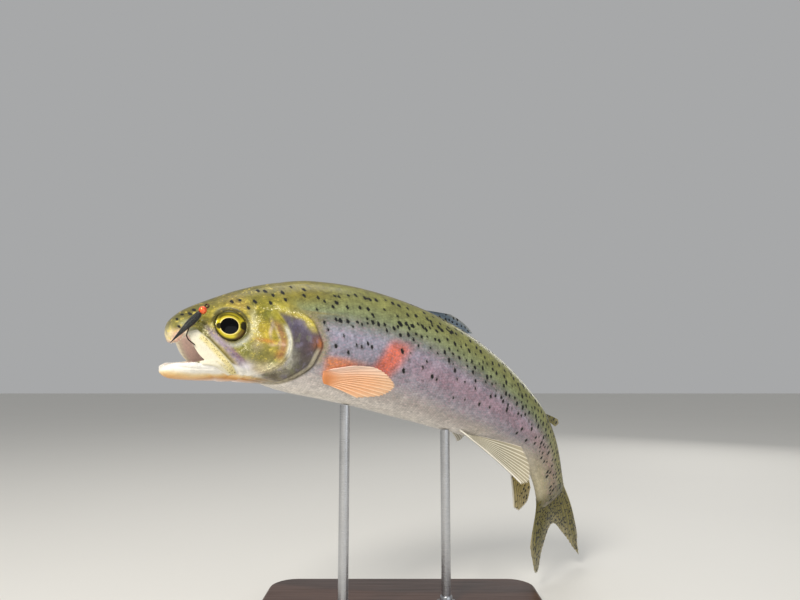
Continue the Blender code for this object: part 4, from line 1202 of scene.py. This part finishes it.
def middle_fins():
    """Dorsal, adipose, tail and anal fins: name, node, root, edge, direction through, rays."""
    yield ("dorsal", "dorsal_fin", on_hull(1, (0, 126, 0, -0.4), (1, 152, 0, -0.4)),
           line((0, 141.5, -1.0, 32.4), (0.3, 147, -1.5, 31.9), (0.7, 152.5, -1.4, 30.4),
                (1, 157, -0.7, 28.0)), (0, 1, 0), 13)
    yield ("adipose", "adipose_fin", on_hull(1, (0, 223, 0, -0.4), (1, 229, 0, -0.4)),
           line((0, 234, 0, 21.0), (0.5, 236.5, 0, 20.0), (1, 236, 0, 17.0)), (0, 1, 0), 1)
    yield ("tail", "caudal_fin", line((0, 273.5, 0, 11.4), (0.5, 273.5, 0, 0), (1, 273.5, 0, -11.4)),
           line((0, 303, 1, 25.0), (0.05, 318, 3, 29.5), (0.12, 328, 4, 30.0), (0.3, 309, 0, 12.5),
                (0.5, 298, -1, 0), (0.68, 308, 0, -14), (0.86, 318, 3, -28.5), (0.93, 315, 4, -33),
                (1, 298, 3, -30.5)), (0, 1, 0), 24)
    yield ("anal", "anal_fin", on_hull(1, (0, 214, 180, -0.4), (1, 237, 180, -0.4)),
           line((0, 256, 5.5, -35.5), (0.15, 261, 6.5, -33.0), (0.5, 260, 6.5, -26.5), (1, 254, 5.0, -19)),
           (0, 1, 0), 12)


PALE_RAY = (0.92, 0.87, 0.76)    # linear
FIN_SEED = 19
SPOT_GAPS = {"tail": 1.25, "dorsal": 1.9, "adipose": 1.9, "anal": 1.9}
SPOT_COUNTS = {"tail": 330, "dorsal": 12, "adipose": 5, "anal": 40}
ROOT_SWELLINGS = {"tail": 1.7, "dorsal": 0.55, "anal": 0.5, "adipose": 1.0, "pectoral": 0.6, "pelvic": 0.6}
FIN_ROWS = {"tail": 80, "dorsal": 60, "adipose": 40, "anal": 80, "pectoral": 120, "pelvic": 150}


def fin_grid(root, tip, across, rays, rise, thick, rows):
    """Both faces of a rayed fin as (row, column) grids, with its ray and reach numbers.

    The middle sheet runs straight from root to edge along r and waves a little from ray to ray; half
    its thickness is the membrane, plus a ridge on each ray that forks beyond mid length, plus a
    swelling at the root.  The free edge is scalloped between the rays.
    """
    columns = rays * 8 + 25
    v = np.linspace(0, 1, columns)[:, None]
    r = np.linspace(-0.03, 1, rows)[None, :]
    wave = np.cos(2 * math.pi * v * rays)
    fork = np.cos(4 * math.pi * v * rays)
    split = ease(r, 0.40, 0.62)
    ridge = (0.5 + 0.5 * wave) ** 2 * (1 - 0.5 * split) + 0.25 * (0.5 + 0.5 * fork) ** 2 * split
    edge = 0.996 - 0.014 * (1 - fork) * (rays > 1)
    root_line, tip_line = root(v[:, 0])[:, None, :], tip(v[:, 0])[:, None, :]
    middle = root_line + (tip_line - root_line) * (r * edge)[..., None]
    across = np.array(across, float)
    middle = middle + across * (0.16 * wave * ease(r, 0.05, 0.4) * (1 - 0.6 * split)
                                + 0.03 * fork * split)[..., None] * (rays > 1)
    lead = hump(v, 0.0, 0.035) + 0.5 * hump(v, 1.0, 0.02)
    half = (0.13 + rise * ridge * (1 - 0.6 * r) + 0.20 * lead * (1 - 0.7 * r)
            + thick * np.exp(-np.clip(r, 0, 1) / 0.10))
    half = half * (1 - 0.72 * ease(r, 0.93, 1.0))
    return (middle + across * half[..., None], middle - across * half[..., None],
            ridge + 0 * r, r + 0 * v, v * rays + 0 * r)


def fin_mesh(name, left, right, fields):
    """Closed piece between two like grids, joined round their borders."""
    rows, columns = left.shape[:2]
    other = rows * columns
    sheet = grid_faces(rows, columns)
    border = np.concatenate([np.arange(columns), np.arange(1, rows) * columns + columns - 1,
                             (rows - 1) * columns + np.arange(columns - 2, -1, -1),
                             np.arange(rows - 2, 0, -1) * columns])
    after = np.roll(border, -1)
    wall = np.stack([border, after, other + after, other + border], -1)
    faces = [np.concatenate([sheet[:, ::-1], other + sheet, wall])]
    points = np.concatenate([left.reshape(-1, 3), right.reshape(-1, 3)])
    fields = {key: np.concatenate([values.reshape(other, -1)] * 2).squeeze()
              for key, values in fields.items()}
    fields["lay"] = points
    return make_mesh(name, bend(points), faces, fields)


def fin_spots(root, tip, count, gap, rng):
    """Middles and sizes of a fin's spots: seeded darts between root and edge, none near a kept one."""
    v, r = rng.uniform(0.02, 0.98, 14 * count), rng.uniform(0.02, 0.95, 14 * count) ** 0.8
    darts = root(v) + (tip(v) - root(v)) * r[:, None]
    kept = []
    for dart in darts:
        if len(kept) < count and (not kept or np.linalg.norm(np.array(kept) - dart, axis=1).min() > gap):
            kept.append(dart)
    return np.column_stack([np.array(kept), rng.uniform(0.55, 1.0, len(kept))])


def fin_finish(name, skin, ray, clear, spotted, pale_lead=0.0, lead=PALE_RAY, mottle=1.0, root=None):
    """Thin fin: mottled membrane between firmer, jointed rays, paler to the edge, with black spots."""
    finish, start, shader = new_finish(name, Coat_Weight=0.3, Coat_Roughness=0.2, Specular_IOR_Level=0.3)
    lay, ridge = attribute(start, "lay", "Vector"), attribute(start, "ridge")
    reach, number = attribute(start, "reach"), attribute(start, "number")
    fine, broad = lay.noise(0.8, 4.0, 0.6), lay.noise(0.15, 3.0, 0.6)
    steps = reach * 150 + number * 3.1
    joint = steps.math("SINE", steps)
    tone = (ridge.ease(0.10, 0.55) * 0.9).mix(skin, ray)
    tone = (reach.ease(0.60, 1.0) * 0.30).mix(tone, shade(214, 200, 168))
    tone = (fine.ease(0.45, 0.75) * (0.35 * mottle)).mix(tone, darker(skin, 0.45))
    tone = (broad.ease(0.40, 0.65) * (0.30 * mottle)).mix(tone, darker(skin, 0.6))
    if pale_lead:
        tone = (number.ease(pale_lead, 0.0) * 0.85).mix(tone, lead)
    if root:
        tone = (reach.ease(0.30, 0.02) * 0.8).mix(tone, root)
    if spotted:
        edge = attribute(start, "spots") + fine.ease(0.2, 0.8, -0.2, 0.2)
        tone = (edge.ease(0.12, -0.16) * 0.95).mix(tone, bpy.context.scene.trout_colours.spot)
    if clear < 1:
        membrane = ridge.ease(0.0, 0.5, clear, 1.0).most(reach.ease(0.30, 0.0))
        plug(start, shader, Alpha=membrane.most(number.ease(0.8, 0.3)))
    relief = fine * 0.6 + joint * 0.03 * ridge.ease(0.3, 0.8) + ridge * 0.8
    plug(start, shader, Base_Color=tone, Roughness=fine.ease(0.2, 0.8, 0.32, 0.52),
         Normal=relief.bump(0.15 + 0.25 * mottle, 0.00012))
    return finish


class TROUT_OT_fins(bpy.types.Operator):
    """Build the eight fins with their rays and membranes"""
    bl_idname = "trout.build_fins"
    bl_label = "Fins"

    def execute(self, context):
        sizes, paint = context.scene.trout_sizes, context.scene.trout_colours
        olive, warm = tuple(paint.fin), tuple(paint.warm_fin)
        looks = {
            "dorsal": fin_finish("dorsal fin", shade(96, 112, 128), shade(122, 132, 136), 1.0, True),
            "adipose": fin_finish("adipose fin", olive, shade(120, 112, 48), 1.0, True),
            "tail": fin_finish("tail fin", olive, shade(138, 126, 62), 1.0, True, 0.5),
            "anal": fin_finish("anal fin", shade(132, 116, 56), shade(176, 156, 92), 0.85, True, 0.6),
            "pectoral": fin_finish("pectoral fins", warm, shade(246, 200, 160), 0.9, False, 6.5,
                                   shade(255, 226, 208), 0.25, shade(230, 140, 74)),
            "pelvic": fin_finish("pelvic fins", shade(156, 148, 124), shade(212, 206, 186), 0.72, False, 0.8,
                                 mottle=0.3)}
        rng = np.random.default_rng(FIN_SEED)
        for name, node, root, tip, across, rays in (*middle_fins(), *paired_fins()):
            kind = name.split("_")[0]
            rise = sizes.ray_rise * (0.5 if kind == "pectoral" else 1.0)
            left, right, ridge, reach, number = fin_grid(root, tip, across, rays, rise,
                                                         ROOT_SWELLINGS[kind], FIN_ROWS[kind])
            fields = {"ridge": ridge, "reach": reach, "number": number}
            if kind in SPOT_COUNTS:
                spots = fin_spots(root, tip, SPOT_COUNTS[kind], SPOT_GAPS[kind], rng)
                fields["spots"] = spot_distance(((left + right) / 2).reshape(-1, 3), spots,
                                                sizes.spot_size * 0.9)
            obj = fin_mesh(name + "_rayed", left, right, fields)
            finish_piece(obj, looks[kind], "fin", node)
        return {"FINISHED"}


# ------------------------------------------------------------------ fly
FLY_NOSE = (11.6, 11.5, 9.4)
FLY_TAIL = (-0.7, 10.6, -4.4)
BEAD_RADIUS = 1.7
BODY_RADIUS = ((0, 0.9), (0.06, 1.25), (0.25, 1.3), (0.5, 0.95), (0.75, 0.5), (0.93, 0.2), (1, 0.1))
FIBRES, FIBRE_ROWS, FIBRE_SIDES, FIBRE_SEED = 150, 9, 4, 3
HOOK_ACROSS = (0.45, -0.80, -0.40)
HOOK_WIRE = 0.24
ASIDE = (0.31, 0.9, 0.3)      # any direction that no tube runs along
HOOK_PATH = ((6.8, 10.5, 2.6), (5.9, 10.4, -0.4), (5.75, 10.6, -1.3), (6.1, 10.9, -2.5), (7.05, 11.1, -3.5),
             (8.1, 11.2, -4.2), (9.0, 10.9, -4.8), (9.8, 9.9, -5.3))


def tube(path, radius, sides):
    """Round tube along a path of straight-fish points; the radius may change along it."""
    path = np.asarray(path, float)
    along = np.gradient(path, axis=0)
    along /= np.linalg.norm(along, axis=1, keepdims=True)
    one = np.cross(along, ASIDE)
    one /= np.linalg.norm(one, axis=1, keepdims=True)
    two = np.cross(along, one)
    turn = full_turn(sides)[None, :, None]
    radius = np.broadcast_to(np.asarray(radius, float), (len(path),))[:, None, None]
    return path[:, None, :] + radius * (np.cos(turn) * one[:, None] + np.sin(turn) * two[:, None])


def closed_tube(name, rings):
    """Closed piece through rings of points, each end closed on its middle."""
    points = np.concatenate([rings.reshape(-1, 3), [rings[0].mean(0), rings[-1].mean(0)]])
    return make_mesh(name, bend(points), capped_faces(*rings.shape[:2]))


def ring_piece(name, middle, one, two, radius, wire):
    """Closed ring of round wire about a middle point, in the plane of two directions."""
    rows, sides = 40, 12
    big, small = full_turn(rows)[:, None, None], full_turn(sides)[None, :, None]
    out = np.cos(big) * one + np.sin(big) * two
    points = middle + out * (radius + wire * np.cos(small)) + np.cross(one, two) * wire * np.sin(small)
    return make_mesh(name, bend(points.reshape(-1, 3)), [looped_faces(rows, sides)])


def bead_finish():
    """Glossy bead with worn lighter patches."""
    finish, start, shader = new_finish("bead", Metallic=0.25, Coat_Weight=1.0, Coat_Roughness=0.03)
    wear = object_place(start).noise(900, 3.0, 0.6)
    tone = wear.ease(0.35, 0.75).mix(bpy.context.scene.trout_colours.bead, shade(250, 128, 44))
    plug(start, shader, Base_Color=tone, Roughness=wear.ease(0.3, 0.7, 0.12, 0.24))
    return finish


def thread_finish():
    """Black fibres, some with a green glow, and rusty brown ones low on the body."""
    finish, start, shader = new_finish("wound thread", Sheen_Weight=0.25)
    strands = object_place(start).noise(2600, 3.0, 0.6)
    glow = attribute(start, "shine").ease(0.45, 1.0) * strands.ease(0.35, 0.7)
    tone = glow.mix(shade(12, 13, 12), shade(52, 66, 56))
    tone = attribute(start, "shank").mix(tone, shade(62, 30, 16))
    plug(start, shader, Base_Color=tone, Roughness=strands.ease(0.3, 0.7, 0.4, 0.7),
         Normal=strands.bump(0.5, 0.0001))
    return finish


def wire_finish():
    """Dark bronzed wire of the hook."""
    finish, start, shader = new_finish("blued wire", Metallic=0.85)
    wear = object_place(start).noise(1500, 2.0, 0.5)
    plug(start, shader, Base_Color=wear.mix(shade(40, 28, 22), shade(84, 60, 48)),
         Roughness=wear.ease(0.3, 0.7, 0.18, 0.34))
    return finish


class TROUT_OT_fly(bpy.types.Operator):
    """Tie the fly in the lip: bead, feather body, and a hook whose point is in the flesh"""
    bl_idname = "trout.build_fly"
    bl_label = "Fly"

    def execute(self, context):
        nose, tail = np.array(FLY_NOSE), np.array(FLY_TAIL)
        axis = (tail - nose) / np.linalg.norm(tail - nose)
        swing = np.linspace(0.22, math.pi - 0.22, 26)
        bead_path = nose - axis * BEAD_RADIUS * np.cos(swing)[:, None]
        bead = closed_tube("bead", tube(bead_path, BEAD_RADIUS * np.sin(swing), 36))
        finish_piece(bead, bead_finish(), "bead", "fly_bead")
        finish_piece(self.feather_body(nose, tail, axis), thread_finish(), "thread", "fly_body")
        wire = wire_finish()
        along, share = np.linspace(0, 1, len(HOOK_PATH)), np.linspace(0, 1, 60)
        path = np.stack([steady_curve(list(zip(along, places)), share) for places in zip(*HOOK_PATH)], -1)
        hook = closed_tube("hook", tube(path, HOOK_WIRE * np.clip((1.04 - share) * 5, 0, 1), 12))
        finish_piece(hook, wire, "hook", "fly_hook")
        side = np.cross(axis, HOOK_ACROSS)
        ring = ring_piece("hook_ring", nose - axis * (BEAD_RADIUS + 0.75), axis,
                          side / np.linalg.norm(side), 0.8, 0.30)
        finish_piece(ring, wire, "hook", "fly_hook_eye")
        return {"FINISHED"}

    @staticmethod
    def feather_body(nose, tail, axis):
        """Tapered core wound with thread, and a sheath of fine fibres swept back along it to a point."""
        share, sides = np.linspace(0, 1, 200), 24
        first = nose + axis * (BEAD_RADIUS - 0.1)
        path = first + (tail - first) * share[:, None]
        radius = steady_curve(BODY_RADIUS, share)
        rings = tube(path, radius, sides)
        winding = np.abs(np.sin(share[:, None] * 30 * math.pi + full_turn(sides)[None, :] / 2))
        rings = rings + (rings - path[:, None, :]) * (0.12 * winding - 0.04)[..., None]
        ends = np.array([rings[0].mean(0), rings[-1].mean(0)])
        quads, *caps = capped_faces(len(share), sides)
        count = len(share) * sides + 2
        fibres, fibre_shine, low = TROUT_OT_fly.fibres(first, tail, axis, share, radius)
        number, each = fibres.shape[:2]
        fibre_quads, *fibre_caps = capped_faces(FIBRE_ROWS, FIBRE_SIDES)
        firsts = count + np.arange(number)[:, None, None] * each
        faces = [np.concatenate([quads, (firsts + fibre_quads[None]).reshape(-1, 4)]),
                 np.concatenate([*caps, (firsts + np.concatenate(fibre_caps)[None]).reshape(-1, 3)])]
        points = np.concatenate([rings.reshape(-1, 3), ends, fibres.reshape(-1, 3)])
        fields = {"shine": np.concatenate([winding.ravel() * 0.6, (0, 0), np.repeat(fibre_shine, each)]),
                  "shank": np.concatenate([np.zeros(count), np.repeat(low * 0.8, each)])}
        return make_mesh("fly_feather_body", bend(points), faces, fields)

    @staticmethod
    def fibres(first, tail, axis, share, radius):
        """Points of all fibres with both ends' middles, the shine of each, and which lie low.

        A fibre starts on the core, runs tailward while it turns a little round it, bows outward by a
        half sine, and thins to its tip.
        """
        rng = np.random.default_rng(FIBRE_SEED)
        each_one = (FIBRES, 1, 1)
        t = np.linspace(0, 1, FIBRE_ROWS)[None, :, None]
        start_at = rng.uniform(0.0, 0.42, each_one)
        reach = np.minimum(rng.uniform(0.30, 0.60, each_one), 0.99 - start_at)
        where = start_at + t * reach
        one = np.cross(axis, ASIDE)
        one /= np.linalg.norm(one)
        two = np.cross(axis, one)
        around = rng.uniform(0, 2 * math.pi, each_one) + rng.normal(0, 0.35, each_one) * t
        bow = 1.02 + 0.16 * rng.uniform(0, 1, each_one) * np.sin(math.pi * t)
        outward = np.cos(around) * one + np.sin(around) * two
        centre = first + (tail - first) * where + np.interp(where, share, radius) * bow * outward
        sideways = np.cross(np.broadcast_to(axis, outward.shape), outward)
        spin = full_turn(FIBRE_SIDES)[None, None, :, None]
        thin = 0.11 * (1 - t[..., None]) ** 0.6 + 0.015
        fibre = centre[:, :, None, :] + thin * (np.cos(spin) * outward[:, :, None, :]
                                                + np.sin(spin) * sideways[:, :, None, :])
        poles = fibre[:, [0, -1]].mean(2)
        shine = rng.uniform(0.2, 1.0, FIBRES)
        low = (outward[:, 0, 2] < -0.35) & (start_at[:, 0, 0] > 0.1)
        return np.concatenate([fibre.reshape(FIBRES, -1, 3), poles], 1), shine, low


# ------------------------------------------------------------------ stand
def steel_finish(name, tone, rough):
    """Brushed metal: long fine scratches round the rods in its roughness and bump."""
    finish, start, shader = new_finish(name, Metallic=1.0)
    scratch = object_place(start).noise(60, 5.0, 0.7, stretch=(1.0, 1.0, 60.0))
    smear = object_place(start).noise(30, 3.0, 0.6)
    plug(start, shader, Base_Color=smear.ease(0.3, 0.7).mix(tone, darker(tone, 0.82)),
         Roughness=scratch.ease(0.3, 0.7, rough, rough + 0.16), Normal=scratch.bump(0.15, 0.0001))
    return finish


def wood_finish():
    """Dark satin wood: long rings of grain with fine pores along them."""
    finish, start, shader = new_finish("base wood", Coat_Weight=0.35, Coat_Roughness=0.25)
    wood = bpy.context.scene.trout_colours.wood
    bow = object_place(start).noise(9, 3.0, 0.55, stretch=(0.35, 2.2, 2.2))
    rings = start.math("SINE", bow * 26)
    pores = object_place(start).noise(420, 3.0, 0.7, stretch=(0.07, 1.0, 1.0))
    grain = rings.ease(-0.6, 1.0) * 0.6 + pores.ease(0.35, 0.75) * 0.4
    plug(start, shader, Base_Color=grain.mix(wood, darker(wood, 0.42)),
         Roughness=pores.ease(0.3, 0.8, 0.36, 0.52), Normal=(pores * 0.7 + rings * 0.15).bump(0.25, 0.0002))
    return finish


# a collar's section from its foot up: share of the rod's radius, and height over the base in mm
COLLAR = ((0.94, -0.4), (2.2, -0.4), (2.3, 0.2), (2.3, 1.2), (2.1, 1.7), (1.6, 2.0), (1.35, 2.6), (1.3, 4.2),
          (1.2, 4.7), (0.94, 4.8))
COLLAR_SIDES = 64


def repaint(node, finish):
    """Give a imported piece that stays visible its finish."""
    node.data.materials.clear()
    node.data.materials.append(finish)


class TROUT_OT_stand(bpy.types.Operator):
    """Finish the base and rods, and add a turned collar at each rod's foot"""
    bl_idname = "trout.build_stand"
    bl_label = "Stand"

    def execute(self, context):
        steel = steel_finish("brushed steel", shade(196, 197, 200), 0.24)
        brushed = steel_finish("collar metal", shade(186, 187, 190), 0.20)
        repaint(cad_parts["stand_base"], wood_finish())
        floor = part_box("stand_base")[1][2]
        for word in ("front", "rear"):
            repaint(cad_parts[f"stand_rod_{word}"], steel)
            low, high = (np.array(corner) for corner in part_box(f"stand_rod_{word}"))
            collar = self.collar(f"collar_{word}", (low + high) / 2, (high[0] - low[0]) / 2, floor)
            finish_piece(collar, brushed, "rod")
        return {"FINISHED"}

    @staticmethod
    def collar(name, middle, radius, floor):
        """Turned ring round a rod: the collar's section swept through a full turn, closed on itself."""
        out, up = np.array(COLLAR).T[:, :, None]
        turn = full_turn(COLLAR_SIDES)
        ring = np.stack([out * radius * np.cos(turn) + middle[0], out * radius * np.sin(turn) + middle[1],
                         up * MM + floor + 0 * turn], -1)
        obj = make_mesh(name, ring, [looped_faces(len(COLLAR), COLLAR_SIDES)])
        obj.data.set_sharp_from_angle(angle=math.radians(38))
        return obj


# ------------------------------------------------------------------ stage
FLOOR_HALF = 4.0              # metres, as all sizes of the stage
# lamps: name, place, size, power and colour
LAMPS = (("key", (-0.35, -0.75, 0.70), 0.30, 8.5, (1.0, 0.96, 0.90)),
         ("fill", (0.60, -0.80, 0.25), 0.9, 2.0, (0.90, 0.95, 1.0)),
         ("top", (0.05, 0.10, 0.95), 0.5, 1.6, (1.0, 1.0, 1.0)),
         ("back", (0.55, 0.75, 0.45), 0.5, 1.2, (1.0, 0.98, 0.95)))
LAMP_AIM = (-0.02, -0.01, 0.12)
AMBIENT, AMBIENT_STRENGTH = (0.86, 0.87, 0.88), 0.45
CAMERA_PLACE, CAMERA_RISE = (-0.0102, -0.3447, 0.1290), 6.8      # degrees over the level
LENS, SENSOR = 28.125, 36.0


class TROUT_OT_stage(bpy.types.Operator):
    """Set the pale floor, the soft lights and the camera"""
    bl_idname = "trout.build_stage"
    bl_label = "Stage"

    def execute(self, context):
        scene = context.scene
        mesh = bpy.data.meshes.new("floor")
        corners = [(x * FLOOR_HALF, y * FLOOR_HALF, 0) for x, y in ((-1, -1), (1, -1), (1, 1), (-1, 1))]
        mesh.from_pydata(corners, [], [(0, 1, 2, 3)])
        mesh.materials.append(self.floor_finish())
        add_object("floor", mesh)
        for name, at, size, power, tone in LAMPS:
            lamp = bpy.data.lights.new(name, "AREA")
            lamp.shape, lamp.size, lamp.energy, lamp.color = "DISK", size, power, tone
            obj = add_object(name, lamp)
            obj.location = at
            obj.rotation_euler = (Vector(LAMP_AIM) - Vector(at)).to_track_quat("-Z", "Y").to_euler()
        world = bpy.data.worlds.new("studio")
        world.use_nodes = True
        background = world.node_tree.nodes["Background"]
        background.inputs["Color"].default_value = (*AMBIENT, 1.0)
        background.inputs["Strength"].default_value = AMBIENT_STRENGTH
        scene.world = world
        scene.view_settings.view_transform = "Standard"
        camera = bpy.data.cameras.new("camera")
        camera.lens, camera.sensor_width = LENS, SENSOR
        camera.clip_start = 0.01
        scene.camera = add_object("camera", camera)
        scene.camera.location = CAMERA_PLACE
        scene.camera.rotation_euler = (math.radians(90 + CAMERA_RISE), 0, 0)
        return {"FINISHED"}

    @staticmethod
    def floor_finish():
        """Pale matt floor, faintly clouded."""
        finish, start, shader = new_finish("pale floor", Roughness=0.7)
        floor = bpy.context.scene.trout_colours.floor
        clouds = object_place(start).noise(6, 3.0, 0.5)
        plug(start, shader, Base_Color=clouds.mix(floor, darker(floor, 0.97)))
        return finish


class TROUT_PT_panel(bpy.types.Panel):
    """Lists the steps that build the model"""
    bl_idname = "TROUT_PT_panel"
    bl_label = "Trout"
    bl_space_type = "VIEW_3D"
    bl_region_type = "UI"
    bl_category = "Trout"

    def draw(self, context):
        for step in STEPS:
            self.layout.operator(step.bl_idname)
        for group in (context.scene.trout_sizes, context.scene.trout_colours):
            for name in type(group).__annotations__:
                self.layout.prop(group, name)


STEPS = (TROUT_OT_skin, TROUT_OT_scales, TROUT_OT_eyes, TROUT_OT_teeth, TROUT_OT_fins, TROUT_OT_fly,
         TROUT_OT_stand, TROUT_OT_stage)
CLASSES = (TroutSizes, TroutColours, *STEPS, TROUT_PT_panel)


def register():
    """Register the classes and hang both property groups on the scene."""
    for item in CLASSES:
        bpy.utils.register_class(item)
    bpy.types.Scene.trout_sizes = bpy.props.PointerProperty(type=TroutSizes)
    bpy.types.Scene.trout_colours = bpy.props.PointerProperty(type=TroutColours)


def unregister():
    """Take both property groups off the scene and unregister the classes."""
    del bpy.types.Scene.trout_colours
    del bpy.types.Scene.trout_sizes
    for item in reversed(CLASSES):
        bpy.utils.unregister_class(item)


def main():
    """Build every piece in order."""
    register()
    for step in STEPS:
        group, name = step.bl_idname.split(".")
        getattr(getattr(bpy.ops, group), name)()


if __name__ == "__main__":
    main()
